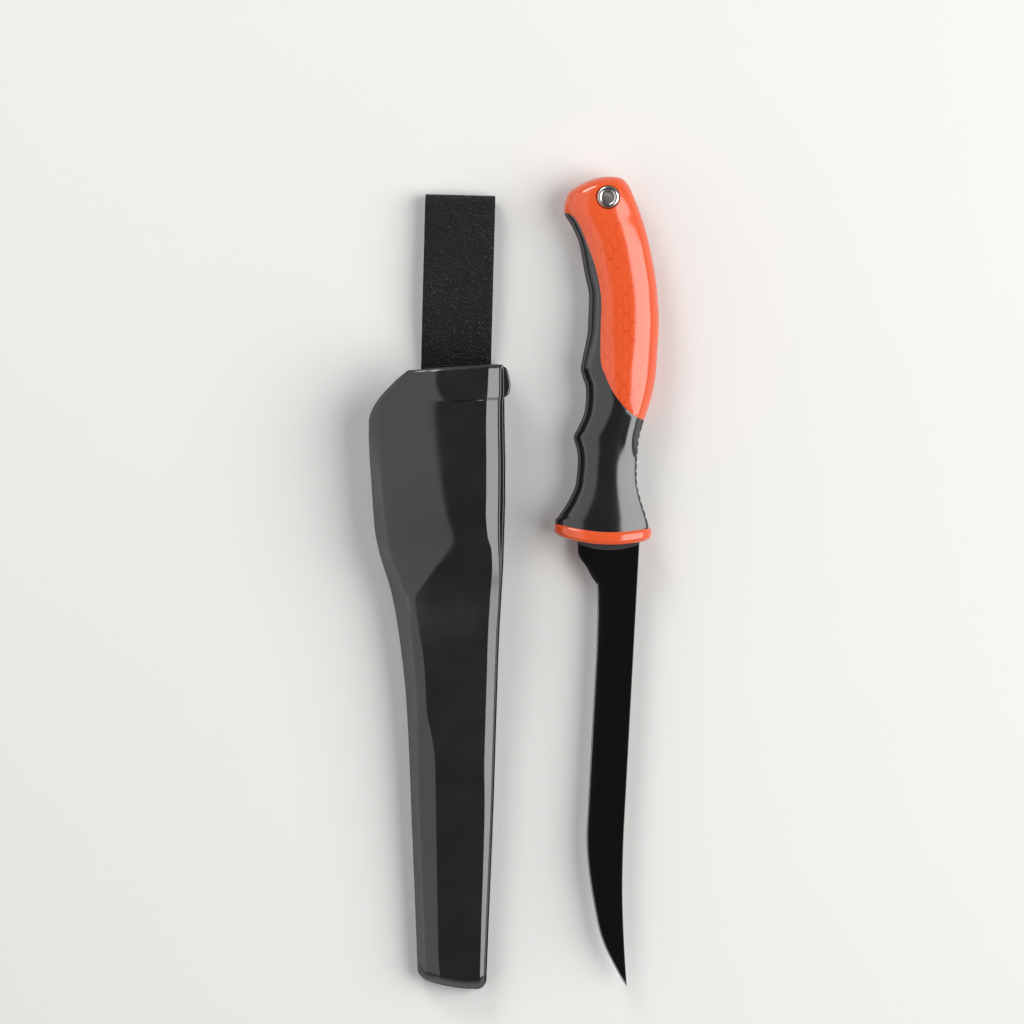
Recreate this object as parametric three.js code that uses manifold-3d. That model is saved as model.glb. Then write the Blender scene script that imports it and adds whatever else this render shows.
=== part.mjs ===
// Fillet knife with a two-shot handle, lying drawn beside its two-shell belt sheath.
// Millimetres, +Z up. Knife and sheath lie side by side on the plane z = 0, points towards -Y.
import * as THREE from 'three';
import { mergeVertices } from 'three/addons/utils/BufferGeometryUtils.js';
import Module from 'manifold-3d';

const wasm = await Module();
wasm.setup();

// Clearances
const seatGap = 0.3; // between pieces that touch on the real product
const pocketClearance = 1.0; // between the guard and the inside of the front shell
const throatPlay = 2.3; // sideways play of the guard where the pocket narrows
const tipClearance = 2.2; // between the blade's tip and the sheath's end wall
const guardRest = 1; // the sheathed guard stops this far past the sheath's zero line

// Blade, seen with the spine on the right
const bladeLength = 161.6;
const bladeWidth = 13.9;
const bladeSpine = 12.6; // spine line from the knife's centre line
const bladeThickness = 1.8;
const tipThickness = 0.7;
const sweepLength = 55; // curved front part of the blade
const sweepRise = 4.2; // the tip stands this far past the straight spine line
const heelDrop = 8.9; // the heel stands this far below the straight edge
const heelLength = 40; // from the guard to where the edge runs straight
const rampLength = 16; // blunt ramp at the heel
const bevelHeight = 0.6; // sharpened bevel
const bevelThickness = 0.45; // blade where the bevel starts
const edgeThickness = 0.12;
const bluntShare = 0.9; // the ramp's edge is this share of the blade's thickness
// [share of the sweep from the tip, share of the blade's width], and share of the rise
const sweepWidths = [
  [0, 0.02], [0.03, 0.16], [0.14, 0.35], [0.24, 0.53], [0.35, 0.66], [0.56, 0.8], [0.78, 0.94], [1, 1],
];
const sweepSpine = [[0, 1], [0.14, 0.73], [0.41, 0.37], [0.63, 0.13], [1, 0]];
// [share of the heel's length from the guard, share of its drop]
const heelLine = [
  [0, 1], [0.09, 0.97], [0.23, 0.55], [0.31, 0.34], [0.37, 0.14], [0.43, 0.1], [0.55, 0.067], [0.66, 0.036],
  [1, 0],
];

// Tang, the blade's hidden end in the handle
const tangLength = 92;
const tangWidth = 11;
const tangCentre = 0.5;
const tangSeat = 3; // the full blade is let into the guard this deep
const lockHoleDiameter = 4.4;
const lockHolePlaces = [30, 66];

// Handle
const handleLength = 136.1;
const palmThickness = 19.2;
const neckThickness = 16.0;
const buttThickness = 17.2;
const handleRoundness = 2.4; // exponent of the oval section
const handleLap = 1; // the handle's section starts this far inside the guard
const gripSkin = 2.4; // soft second shot over the hidden core
const coreInset = 18; // the hidden core ends this far before the butt
const buttDome = 12; // rounded end of the handle
const guardSpan = 35.2;
const guardCentre = -0.8;
const guardThickness = 19.6;
const guardHeight = 4.6;
const guardDish = 2.75; // the guard's ends stand this far behind its middle
// [share of the guard's height, share of its size]
const guardRim = [[0, 0.9], [0.12, 0.965], [0.34, 1], [0.7, 1], [0.91, 0.975], [1, 0.94]];
const ridgeCount = 12;
const ridgePitch = 2.83;
const ridgeStart = 11;
const ridgeRadius = 1.0;
const ridgeDepth = 0.4;

// Handle outlines: [place behind the guard's face, place from the centre line], then the same from the butt
const bellyAtGuard = [
  [3.6, -17.9], [10.4, -16.7], [16.5, -14], [22.5, -12.1], [30, -11.8], [34.4, -12.4], [39.1, -13.8],
  [43.2, -12.2], [49.3, -10.3], [53.7, -10.1], [58, -10.4], [61, -11.6], [64.7, -12.6], [69, -12.1],
];
const bellyAtButt = [
  [57, -10.8], [45, -11], [36.6, -13], [25, -15.8], [19, -18.8], [13.3, -22.1], [7.3, -20.9], [4.1, -17.4],
  [0.9, -11.2], [0, -7],
];
const backAtGuard = [
  [3.6, 16.4], [9.1, 15.2], [14.2, 13.4], [18.6, 11.8], [23.7, 10.5], [31, 10.1], [38.5, 10.3], [44.5, 11.3],
  [50.6, 13], [56.6, 14.4], [64, 15.3],
];
const backAtButt = [
  [56, 15.5], [41, 14.1], [29.3, 11.6], [17.7, 8.2], [6.1, 3.2], [2.4, 1.1], [0.4, -1.2], [0, -3],
];
const guardEase = [[3.6, 0.5], [10, 1.1]]; // [place, how far the handle's side lies inside the guard's]
const neckSpan = [22, 32]; // thinnest stretch of the handle
const palmSpan = { fromGuard: 65, fromButt: 52 }; // thickest stretch
const buttRound = [
  [20, 1], [8, 0.965], [5, 0.925], [3, 0.84], [1.5, 0.7], [0.6, 0.55], [0.15, 0.4], [0, 0.28],
]; // [place from the butt, share of its half thickness]
// Line where the hard panel meets the soft grip: [place from the centre line, place from butt or guard]
const shotAtButt = [
  [-26, 13.6], [-20.5, 14.7], [-17.6, 16.6], [-14.5, 21.8], [-9.5, 33.5], [-6.6, 45], [-6.1, 58],
];
const shotAtGuard = [
  [-5.35, 67.3], [-3.1, 61.5], [0.1, 55.8], [5.2, 50.2], [9.1, 47.6], [13, 46.6], [22, 46],
];

// Lanyard eyelet in the butt
const eyeletPlace = { u: -6.05, fromButt: 7.9 };
const eyeletBore = 4.2;
const eyeletBarrel = 5.4;
const eyeletFlange = 8.6;
const eyeletFlangeThickness = 0.9;
const eyeletSeat = 6.6; // seat floors stand this far from the mid-plane
const eyeletWasherThickness = 0.6;
const eyeletRoll = 7.0; // diameter of the rolled back end
const eyeletRollThickness = 0.4;

// Sheath shells
const sheathWall = 1.7;
const sideWall = 1.5; // right wall beside the guard
const cavityCorner = 1.2;
const sheathRight = 19.1; // right side of the pocket from the sheath's centre line
const seamAtTip = 6.0; // height of the seam plane over the flat back at the point end
const backRim = 0.5; // the back shell stands proud of the front shell on the right
const backChamfer = 2.5;
const bladeFrontHigh = 6.4; // front face over the seam where the blade section starts
const bladeFrontLow = 5.0; // and at the point end
const bottomBevel = 3.3;
const bevelFall = 0.6; // slope of the bevel along the right side
const flangeRise = 1.6; // flange along the right side, over the seam
const wallLean = 0.3; // lean of the wall between bevel and flange
const stepFoot = -32; // the pocket steps down to the blade section between these places
const stepTop = 6;
const ridgeKink = [-84, -38]; // the front's ridge bends here
const kinkLead = 8; // last plain section before the bend
const collarHeight = 12; // thickened band under the mouth
const collarRise = 0.5;
const mouthRight = 67.4; // mouth edge on the right
const mouthLeft = 64.0; // and on the left, where the slanting edge starts
const mouthCorner = -17.6;
const mouthMargin = 3; // the shells are drawn this far past the mouth before it is cut
const slantFoot = 45.4; // where the slanting edge meets the left side
const slantPull = { u: 7, v: 3, foot: 8 }; // fullness of the slanting edge
const tabReach = 2.5; // thumb tab beside the mouth
const tabHeight = 12;
const tabLap = 2; // the tab's top stands this far past the mouth's left corner
const tabThickness = 6;
const tabDrop = 0.5; // the tab lies this far under the seam
// [share of the tab's reach, share of its height]
const tabOutline = [[-0.8, 1], [0.31, 0.95], [0.85, 0.67], [1, 0.375], [0.6, 0.125], [-0.8, 0]];

// Sheath outlines: [place from the point end, value], then [place from the zero line, value]
const leftAtPoint = [[0, -8], [10.5, -8.6], [58.5, -11.7], [106.7, -15.1]]; // left side from the centre line
const leftAtPocket = [
  [-28.3, -2.5], [-17.2, 0], [-2.5, 4.8], [4.8, 6.4], [19.6, 7.9], [41.7, 9.6], [70.4, 10],
]; // left side past the throat
const sideAtPoint = [[0, 2.4], [26, 2], [70, 1.36]]; // right side inside the pocket's
const sideAtPocket = [
  [-53, 1.12], [-35, 0.95], [-20, 0.53], [-5, 0.1], [13, 0], [28, 0.27], [43, 0.88], [70.4, 1.9],
];
const draftAtPoint = [[0, 0.45], [70, 0.45]]; // from the right side to the foot of the bevel
const draftAtPocket = [
  [-35, 0.5], [-20, 0.4], [-9, 0.75], [-1, 1.45], [4, 1.75], [13, 2], [43, 1.9], [70.4, 1.6],
];
const bevelAtPoint = [[0, 1.3], [26, 1.7], [55.5, 2], [70, 2.3], [85.5, 2.9]]; // width of the right bevel
const bevelAtPocket = [
  [-50, 2.95], [-20, 3.2], [-9, 2.7], [-2, 2.5], [4, 3.8], [13, 4.4], [43, 4.35], [70.4, 3.7],
];
const ridgeAtPoint = [[0, 0.8], [10.5, -0.7], [40.5, -2], [73.5, -3.3]]; // the front's ridge
const ridgeAtPocket = [
  [-80, -3.8], [-69, -5.7], [-63, -7.3], [-43, -8.9], [-28, -11.6], [-21, -12.5], [-18.5, -11], [-2.5, 0.2],
  [0, 1.8], [8, 0], [20, -3.3], [50, -7.4], [70.4, -9],
];
const bandAtPoint = [[0, 3], [40.5, 3.35], [73.5, 3.4]]; // width of the band along the left edge
const bandAtPocket = [[-65, 3.75], [-43, 4.8], [-21, 5.5], [0, 5], [70.4, 4.6]];
const bandTopAtPoint = [[0, 3], [14, 3.3], [58.5, 4]]; // top of the band over the seam
const bandTopAtPocket = [
  [-40, 4.75], [-30, 5.1], [-22, 5.6], [-14, 6.3], [-4, 7.7], [2, 8.4], [6, 8.6], [20, 8.2], [45, 7.7],
  [70.4, 7.5],
];
const wallAtPoint = [[0, 0.9], [14, 1], [58.5, 1.5]]; // left wall over the seam
const wallAtPocket = [[-40, 1.8], [-22, 2.2], [0, 5], [70.4, 5.2]];
// [place, share of the step] along the ridge and along the right bevel
const ridgeStep = [[-32, 0], [-27, 0.035], [-22, 0.158], [-14, 0.43], [-4, 0.79], [1, 0.96], [4, 1]];
const rightStep = [
  [-75, 0], [-58, 0.07], [-44, 0.22], [-30, 0.42], [-16, 0.66], [-6, 0.86], [0, 0.97], [4, 1],
];
// Rounded point end in plan: [across, along] from its left side and end line, then from its right side
const endLeft = [[-0.3, 8], [0.3, 4.6], [2, 3.2], [5.6, 2.2], [10, 0.95], [15.5, 0]];
const endRight = [[-4, 0], [-0.3, 0], [0.2, 4.5]];

// Belt strap, its rivets and their washers
const strapWidth = 26;
const strapThickness = 1.1;
const strapLift = 0.9; // riveted ends stand this far over the back plane
const strapEndLength = 18;
const strapCorner = 3; // cut corners of the riveted ends
const strapNotch = 64.0; // the back wall ends here under the strap
const bendOverhang = 2.0; // bend line past the end of the back wall
const loopLength = 64;
const loopDepth = 7.4;
const loopRest = 0.2;
const loopNeck = 5; // the loop's inside starts this far past its bend
const loopSlit = 0.12; // half height of the inside there
const loopLower = { leave: 4, reach: 8, flat: 14 }; // how the lower run comes down past the bend
const loopUpper = { full: 34, reach: 14, bulge: 0.8 }; // fullness of the upper run
const rivetSpacing = 14;
const rivetPlace = 55;
const rivetShank = 3.0;
const rivetHead = 6.0;
const rivetHeadThickness = 0.55;
const strapSeatWall = 1.5;
const washerDiameter = 6.6;
const washerThickness = 0.5;
const rivetEnd = 0.2; // the shank stands past its washer
const cutMargin = 2; // cutting bodies stand this far past what they cut

// Where the two lie
const knifePlace = { x: 34.0, y: 14.6, turn: -3.1 };
const sheathPlace = { x: -23.1, y: 14.4, turn: -1.5 };

// Curves, lofts and solids

// A smooth value through [place, value] pairs that never swings past them.
function through(pairs) {
  const slopes = [];
  for (let i = 1; i < pairs.length; i += 1) {
    slopes.push((pairs[i][1] - pairs[i - 1][1]) / (pairs[i][0] - pairs[i - 1][0]));
  }
  const tangents = pairs.map((pair, i) => {
    if (i === 0) return slopes[0];
    if (i === pairs.length - 1) return slopes[i - 1];
    const product = slopes[i - 1] * slopes[i];
    return product <= 0 ? 0 : (2 * product) / (slopes[i - 1] + slopes[i]);
  });
  return (place) => {
    const x = THREE.MathUtils.clamp(place, pairs[0][0], pairs[pairs.length - 1][0]);
    let i = 0;
    while (i < pairs.length - 2 && x > pairs[i + 1][0]) i += 1;
    const span = pairs[i + 1][0] - pairs[i][0];
    const t = (x - pairs[i][0]) / span;
    const rise = pairs[i + 1][1] - pairs[i][1];
    const start = tangents[i] * span;
    const end = tangents[i + 1] * span;
    const bend = t * t * (3 * rise - 2 * start - end);
    return pairs[i][1] + start * t + bend + t * t * t * (start + end - 2 * rise);
  };
}

function evenly(from, to, steps) {
  return Array.from({ length: steps + 1 }, (_, i) => from + ((to - from) * i) / steps);
}

// Turns a closed skin's faces outwards, whichever way its outline was drawn.
function outward(geometry) {
  const { position } = geometry.attributes;
  const corners = geometry.index.array;
  const [a, b, c] = [0, 1, 2].map(() => new THREE.Vector3());
  let volume = 0;
  for (let i = 0; i < corners.length; i += 3) {
    a.fromBufferAttribute(position, corners[i]);
    b.fromBufferAttribute(position, corners[i + 1]);
    c.fromBufferAttribute(position, corners[i + 2]);
    volume += a.dot(b.cross(c));
  }
  if (volume < 0) corners.reverse();
  return geometry;
}

// A closed skin over rings of [x, y, z] points, with a fan over each end.
function loft(rings) {
  const count = rings[0].length;
  const places = rings.flat(2);
  const faces = [];
  for (let r = 0; r < rings.length - 1; r += 1) {
    for (let i = 0; i < count; i += 1) {
      const a = r * count + i;
      const b = r * count + ((i + 1) % count);
      faces.push(a, b, b + count, a, b + count, a + count);
    }
  }
  [0, rings.length - 1].forEach((r) => {
    const hub = places.length / 3;
    [0, 1, 2].forEach((axis) => {
      places.push(rings[r].reduce((sum, point) => sum + point[axis], 0) / count);
    });
    for (let i = 0; i < count; i += 1) {
      const pair = [r * count + i, r * count + ((i + 1) % count)];
      faces.push(hub, ...(r === 0 ? pair.reverse() : pair));
    }
  });
  const geometry = new THREE.BufferGeometry();
  geometry.setAttribute('position', new THREE.Float32BufferAttribute(places, 3));
  geometry.setIndex(faces);
  return outward(geometry);
}

function solid(geometry) {
  const bare = geometry.clone();
  bare.deleteAttribute('normal');
  bare.deleteAttribute('uv');
  const merged = mergeVertices(bare, 1e-4);
  const vertProperties = new Float32Array(merged.attributes.position.array);
  const triVerts = new Uint32Array(merged.index.array);
  return new wasm.Manifold(new wasm.Mesh({ numProp: 3, vertProperties, triVerts }));
}

function surface(body) {
  const { vertProperties, triVerts } = body.getMesh();
  const geometry = new THREE.BufferGeometry();
  geometry.setAttribute('position', new THREE.BufferAttribute(vertProperties, 3));
  geometry.setIndex(new THREE.BufferAttribute(triVerts, 1));
  return geometry;
}

function box(x0, x1, y0, y1, z0, z1) {
  const geometry = new THREE.BoxGeometry(x1 - x0, y1 - y0, z1 - z0);
  geometry.translate((x0 + x1) / 2, (y0 + y1) / 2, (z0 + z1) / 2);
  return solid(geometry);
}

function upright(radius, x, y, z0, z1, sides) {
  const geometry = new THREE.CylinderGeometry(radius, radius, z1 - z0, sides);
  geometry.rotateX(Math.PI / 2);
  geometry.translate(x, y, (z0 + z1) / 2);
  return solid(geometry);
}

// An outline in plan, run through the whole height.
function prism(points, z0, z1) {
  const shape = new THREE.Shape(points.map(([x, y]) => new THREE.Vector2(x, y)));
  const geometry = new THREE.ExtrudeGeometry(shape, { depth: z1 - z0, bevelEnabled: false });
  geometry.translate(0, 0, z0);
  return solid(geometry);
}

// A turned piece about the vertical line through x, y from [radius, height] points.
function turned(profile, x, y, sides) {
  const points = profile.map(([radius, height]) => new THREE.Vector2(radius, height));
  const geometry = new THREE.LatheGeometry(points, sides);
  geometry.rotateX(Math.PI / 2);
  geometry.translate(x, y, 0);
  return outward(geometry);
}

function oval(centre, halfWidth, halfHeight, place, sides) {
  return evenly(0, 2 * Math.PI, sides).slice(0, sides).map((angle) => {
    const c = Math.cos(angle);
    const s = Math.sin(angle);
    const x = centre + halfWidth * Math.sign(c) * Math.abs(c) ** (2 / handleRoundness);
    const z = halfHeight * Math.sign(s) * Math.abs(s) ** (2 / handleRoundness);
    return [x, place(x), z];
  });
}

function piece(name, geometry, colour, roughness, metalness) {
  const material = new THREE.MeshStandardMaterial({ color: colour, roughness, metalness });
  const mesh = new THREE.Mesh(geometry, material);
  mesh.name = name;
  return mesh;
}

// Blade: flat ground from spine to edge, swept up at the tip, with a ramp at the heel
const sweepShare = through(sweepWidths);
const sweepCurve = through(sweepSpine);
const heelCurve = through(heelLine);
const bladeHalf = through([[-bladeLength, tipThickness / 2], [0, bladeThickness / 2]]);
const rampThickness = through([[-rampLength, 0], [0, 1]]);

function bladeRing(v) {
  const share = (v + bladeLength) / sweepLength;
  const spine = bladeSpine + sweepRise * sweepCurve(share);
  const edge = spine - bladeWidth * sweepShare(share) - heelDrop * heelCurve(-v / heelLength);
  const half = bladeHalf(v);
  const blunt = rampThickness(v);
  const shoulder = Math.min(half, THREE.MathUtils.lerp(bevelThickness / 2, half, blunt));
  const keen = Math.min(half, THREE.MathUtils.lerp(edgeThickness / 2, half * bluntShare, blunt));
  const bevel = Math.min(bevelHeight, (spine - edge) / 2);
  const right = [[spine, v, half], [edge + bevel, v, shoulder], [edge, v, keen]];
  return [...right, ...right.map(([x, y, z]) => [x, y, -z]).reverse()];
}

function makeBlade() {
  const tip = evenly(-bladeLength, sweepLength - bladeLength, 22);
  const straight = evenly(sweepLength - bladeLength, -heelLength, 3).slice(1);
  const tail = evenly(-heelLength, -rampLength, 4).slice(1);
  const heel = evenly(-rampLength, 0, 12).slice(1);
  const blade = solid(loft([...tip, ...straight, ...tail, ...heel, tangSeat].map(bladeRing)));
  const half = bladeThickness / 2;
  const left = tangCentre - tangWidth / 2;
  const right = tangCentre + tangWidth / 2;
  const chamfer = tangWidth / 4;
  const tang = prism([
    [left, tangSeat / 2], [right, tangSeat / 2], [right, tangLength - chamfer],
    [right - chamfer, tangLength], [left + chamfer, tangLength], [left, tangLength - chamfer],
  ], -half, half);
  return lockHolePlaces.reduce(
    (body, v) => body.subtract(upright(lockHoleDiameter / 2, tangCentre, v, -half * 2, half * 2, 16)),
    blade.add(tang),
  );
}

// Handle: an oval section that follows belly, back and thickness from guard to butt
const handleBase = guardHeight - handleLap;
const fromButt = (distance) => handleLength - distance;
const alongHandle = (atGuard, atButt) => through([
  ...atGuard, ...atButt.map(([distance, value]) => [fromButt(distance), value]),
]);
const belly = alongHandle(bellyAtGuard, bellyAtButt);
const back = alongHandle(backAtGuard, backAtButt);
const girth = alongHandle([
  ...guardEase.map(([place, inset]) => [place, guardThickness / 2 - inset]),
  ...neckSpan.map((place) => [place, neckThickness / 2]), [palmSpan.fromGuard, palmThickness / 2],
], [
  [palmSpan.fromButt, palmThickness / 2],
  ...buttRound.map(([distance, share]) => [distance, (share * buttThickness) / 2]),
]);

function handleForm(inset, top, steps, sides) {
  const places = evenly(handleBase, Math.min(top, fromButt(buttDome)), steps);
  if (top > fromButt(buttDome)) {
    const turns = evenly(0, Math.PI / 2, 7).slice(1);
    places.push(...turns.map((angle) => fromButt(buttDome) + buttDome * Math.sin(angle)));
  }
  return solid(loft(places.map((v) => {
    const left = belly(v) + inset;
    const right = back(v) - inset;
    return oval((left + right) / 2, (right - left) / 2, girth(v) - inset, () => v, sides);
  })));
}

// Guard: a dished oval flange with a rounded rim
function guardForm(grow) {
  return solid(loft(guardRim.map(([share, size]) => {
    const v = share < 0.5 ? share * guardHeight - grow : share * guardHeight + grow;
    const dish = (x) => v + guardDish * ((x - guardCentre) / (guardSpan / 2)) ** 2;
    return oval(guardCentre, (guardSpan / 2) * size + grow, (guardThickness / 2) * size + grow, dish, 36);
  })));
}

// The line where the hard back panel meets the soft grip, from butt to thumb rest
const shotLine = new THREE.SplineCurve([
  ...shotAtButt.map(([u, distance]) => new THREE.Vector2(u, fromButt(distance))),
  ...shotAtGuard.map(([u, v]) => new THREE.Vector2(u, v)),
]);

function shotEdge(offset) {
  return evenly(0, 1, 36).map((t) => {
    const point = shotLine.getPoint(t);
    const along = shotLine.getTangent(t);
    return [point.x + along.y * offset, point.y - along.x * offset];
  });
}

const reach = 2 * handleLength; // past every side of the handle

function sideOfShot(edge, far) {
  const first = edge[0];
  const last = edge.at(-1);
  return prism([...edge, [reach, last[1]], [reach, far], [-reach, far], [-reach, first[1]]], -reach, reach);
}

const eyeletV = fromButt(eyeletPlace.fromButt);
const wholeHandle = handleForm(0, handleLength, 36, 36);
const coreTop = fromButt(coreInset);

function makeCore() {
  const slotHalf = bladeThickness / 2 + seatGap;
  const tangHalf = tangWidth / 2 + seatGap;
  const [, , heel] = bladeRing(0);
  let core = wholeHandle.intersect(sideOfShot(shotEdge(0), reach));
  core = core.add(handleForm(gripSkin, coreTop, 20, 24)).add(guardForm(0));
  core = core.subtract(
    box(heel[0] - seatGap, bladeSpine + seatGap, -guardHeight, tangSeat + seatGap, -slotHalf, slotHalf),
  );
  core = core.subtract(
    box(tangCentre - tangHalf, tangCentre + tangHalf, 0, tangLength + seatGap, -slotHalf, slotHalf),
  );
  lockHolePlaces.forEach((v) => {
    core = core.add(upright(lockHoleDiameter / 2 - seatGap, tangCentre, v, -slotHalf * 2, slotHalf * 2, 12));
  });
  const bore = eyeletBarrel / 2 + seatGap;
  const seat = eyeletFlange / 2 + seatGap;
  core = core.subtract(upright(bore, eyeletPlace.u, eyeletV, -reach, reach, 20));
  core = core.subtract(upright(seat, eyeletPlace.u, eyeletV, eyeletSeat, reach, 24));
  return core.subtract(upright(seat, eyeletPlace.u, eyeletV, -reach, -eyeletSeat, 24));
}

function makeGrip() {
  let grip = wholeHandle.intersect(sideOfShot(shotEdge(seatGap), -reach));
  grip = grip.subtract(handleForm(gripSkin - seatGap, coreTop + seatGap, 20, 24));
  grip = grip.subtract(guardForm(seatGap));
  for (let i = 0; i < ridgeCount; i += 1) {
    const v = ridgeStart + i * ridgePitch;
    const u = back(v) - ridgeDepth + ridgeRadius;
    grip = grip.subtract(upright(ridgeRadius, u, v, -neckThickness / 2, neckThickness / 2, 8));
  }
  return grip;
}

// Eyelet: a tube with a round flange in front and its end rolled over a washer behind
const washerTop = -eyeletSeat - seatGap;
const washerFoot = washerTop - eyeletWasherThickness;
const rollTop = washerFoot - seatGap;

function makeEyelet() {
  const front = eyeletSeat + seatGap;
  const bore = eyeletBore / 2;
  const flange = eyeletFlange / 2;
  const rolled = rollTop - eyeletRollThickness;
  const brow = front + eyeletFlangeThickness * 0.4;
  const crown = front + eyeletFlangeThickness;
  const profile = [
    [bore, rolled], [eyeletRoll / 2, rolled], [eyeletRoll / 2, rollTop], [eyeletBarrel / 2, rollTop],
    [eyeletBarrel / 2, front], [flange, front], [flange, brow], [flange - eyeletFlangeThickness * 0.7, crown],
    [bore + eyeletFlangeThickness * 0.5, crown], [bore, brow], [bore, rolled],
  ];
  return turned(profile, eyeletPlace.u, eyeletV, 24);
}

function ringWasher(inner, outer, foot, top, x, y) {
  return turned([[inner, foot], [outer, foot], [outer, top], [inner, top], [inner, foot]], x, y, 20);
}

// Sheath: two shells that meet on a sloping seam plane over a flat back
const sheathEnd = guardRest - bladeLength - tipClearance - sheathWall;
const throatLeft = sheathRight - 2 * sheathWall - guardSpan - throatPlay;
const strapSeat = strapLift + 2 * strapThickness + seatGap;
const padTop = strapSeat + strapSeatWall;
const rivetTop = padTop + seatGap + washerThickness + rivetEnd;
const seamAtRivets = rivetTop + seatGap + guardThickness / 2;
const seamSlope = (seamAtRivets - seamAtTip) / (rivetPlace - sheathEnd);
const seam = (v) => seamAtTip + (v - sheathEnd) * seamSlope;
const pocketFront = guardThickness / 2 + pocketClearance + sheathWall;
const mouthTop = mouthRight + mouthMargin;
const collarFoot = mouthLeft + tabLap - collarHeight;

const fromEnd = (distance) => sheathEnd + distance;
const alongSheath = (atPoint, atPocket) => through([
  ...atPoint.map(([distance, value]) => [fromEnd(distance), value]), ...atPocket,
]);
const sheathLeft = alongSheath(leftAtPoint, leftAtPocket.map(([v, out]) => [v, throatLeft - out]));
const sideInset = alongSheath(sideAtPoint, sideAtPocket);
const sheathSide = (v) => sheathRight - sideInset(v);
const sideDraft = alongSheath(draftAtPoint, draftAtPocket);
const bevelWidth = alongSheath(bevelAtPoint, bevelAtPocket);
const ridgeLine = alongSheath(ridgeAtPoint, ridgeAtPocket);
const bandWidth = alongSheath(bandAtPoint, bandAtPocket);
const bandTop = alongSheath(bandTopAtPoint, bandTopAtPocket);
const wallTop = alongSheath(wallAtPoint, wallAtPocket);
const stepOnRidge = through(ridgeStep);
const stepOnRight = through(rightStep);
const bladeFront = through([[sheathEnd, bladeFrontLow], [stepFoot, bladeFrontHigh]]);
const collar = through([[collarFoot - collarRise, 0], [collarFoot, collarRise]]);
const frontTop = (v, step) => bladeFront(v) + (pocketFront - bladeFrontHigh) * step(v);
const endBevel = (v) => bladeFrontLow - bottomBevel + v - sheathEnd;
const shellPlaces = [
  ...evenly(sheathEnd, fromEnd(bottomBevel), 3),
  ...evenly(fromEnd(3 * bottomBevel), ridgeKink[0] - kinkLead, 4),
  ...evenly(...ridgeKink, 8), ...evenly(stepFoot, stepTop, 14),
  ...evenly(2 * stepTop, collarFoot - collarRise, 4), collarFoot, mouthTop,
];

// Front shell's section: left wall, band along the edge, cheek up to the ridge, face, bevel, wall, flange
function frontRing(v) {
  const floor = seam(v) + seatGap / 2;
  const left = sheathLeft(v);
  const right = sheathSide(v);
  const shoulder = right - sideDraft(v);
  const bevel = bevelWidth(v);
  const level = (height) => seam(v) + Math.min(height, endBevel(v));
  const face = level(frontTop(v, stepOnRight) + collar(v));
  const brow = face - bevel * bevelFall;
  const rim = Math.min(brow, seam(v) + flangeRise);
  return [
    [left, v, floor], [left, v, level(wallTop(v))], [left + bandWidth(v), v, level(bandTop(v) + collar(v))],
    [ridgeLine(v), v, level(frontTop(v, stepOnRidge) + collar(v))], [shoulder - bevel, v, face],
    [shoulder, v, brow], [shoulder + wallLean, v, rim], [right, v, rim], [right, v, floor],
  ];
}

function backRing(v) {
  const top = seam(v) - seatGap / 2;
  const left = sheathLeft(v);
  const right = sheathSide(v) + backRim;
  return [
    [left, v, top], [left, v, backChamfer], [left + backChamfer, v, 0],
    [right - backChamfer, v, 0], [right, v, backChamfer], [right, v, top],
  ];
}

// The room inside, one wall thickness in from the faces of both shells
function cavityRing(v) {
  const left = sheathLeft(v) + sheathWall;
  const right = sheathSide(v) - sideWall;
  const shoulder = right - sideDraft(v);
  const bevel = bevelWidth(v);
  const skin = sheathWall * Math.hypot(1, bevelFall);
  const level = (height) => seam(v) + Math.min(height, endBevel(v) - skin);
  const face = frontTop(v, stepOnRight);
  const side = level(face - bevelFall * (bevel - sideWall) - skin);
  const ledge = Math.min(side, seam(v));
  return [
    [left, v, sheathWall + cavityCorner], [left, v, level(wallTop(v) - cavityCorner / 2)],
    [left - sheathWall + bandWidth(v) + seatGap, v, level(bandTop(v) - skin)],
    [ridgeLine(v), v, level(frontTop(v, stepOnRidge) - sheathWall)],
    [shoulder + sideWall - bevel - cavityCorner / 2, v, level(face - sheathWall)], [shoulder, v, side],
    [shoulder + wallLean, v, ledge], [right, v, ledge], [right, v, sheathWall + cavityCorner],
    [right - cavityCorner, v, sheathWall], [left + cavityCorner, v, sheathWall],
  ];
}

// Plan of the sheath: rounded point end, and a mouth whose left corner is cut on a slant
function sheathPlan(inset, mouth) {
  const end = sheathEnd + inset;
  const left = sheathLeft(fromEnd(endLeft[0][1])) + inset;
  const right = sheathSide(fromEnd(endRight[2][1])) + backRim - inset;
  const [corner, pull, turn, foot, lead, run] = endLeft.map(([u, v]) => [left + u, end + v]);
  const [stop, round, leave] = endRight.map(([u, v]) => [right + u, end + v]);
  const shape = new THREE.Shape();
  shape.moveTo(-reach, corner[1]);
  shape.lineTo(...corner);
  shape.bezierCurveTo(...pull, ...turn, ...foot);
  shape.bezierCurveTo(...lead, ...run, ...stop);
  shape.quadraticCurveTo(...round, ...leave);
  shape.lineTo(reach, leave[1]);
  if (mouth) {
    const slope = (mouthRight - mouthLeft) / (sheathRight - mouthCorner);
    const side = sheathLeft(slantFoot) - seatGap;
    shape.lineTo(reach, mouthRight + (reach - sheathRight) * slope);
    shape.lineTo(mouthCorner, mouthLeft);
    shape.bezierCurveTo(
      mouthCorner - slantPull.u, mouthLeft - slantPull.v, side, slantFoot + slantPull.foot, side, slantFoot,
    );
    shape.lineTo(-reach, slantFoot);
  } else {
    shape.lineTo(reach, reach);
    shape.lineTo(-reach, reach);
  }
  const geometry = new THREE.ExtrudeGeometry(shape, { depth: reach, bevelEnabled: false, curveSegments: 8 });
  geometry.translate(0, 0, -reach / 2);
  return solid(geometry);
}

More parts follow.
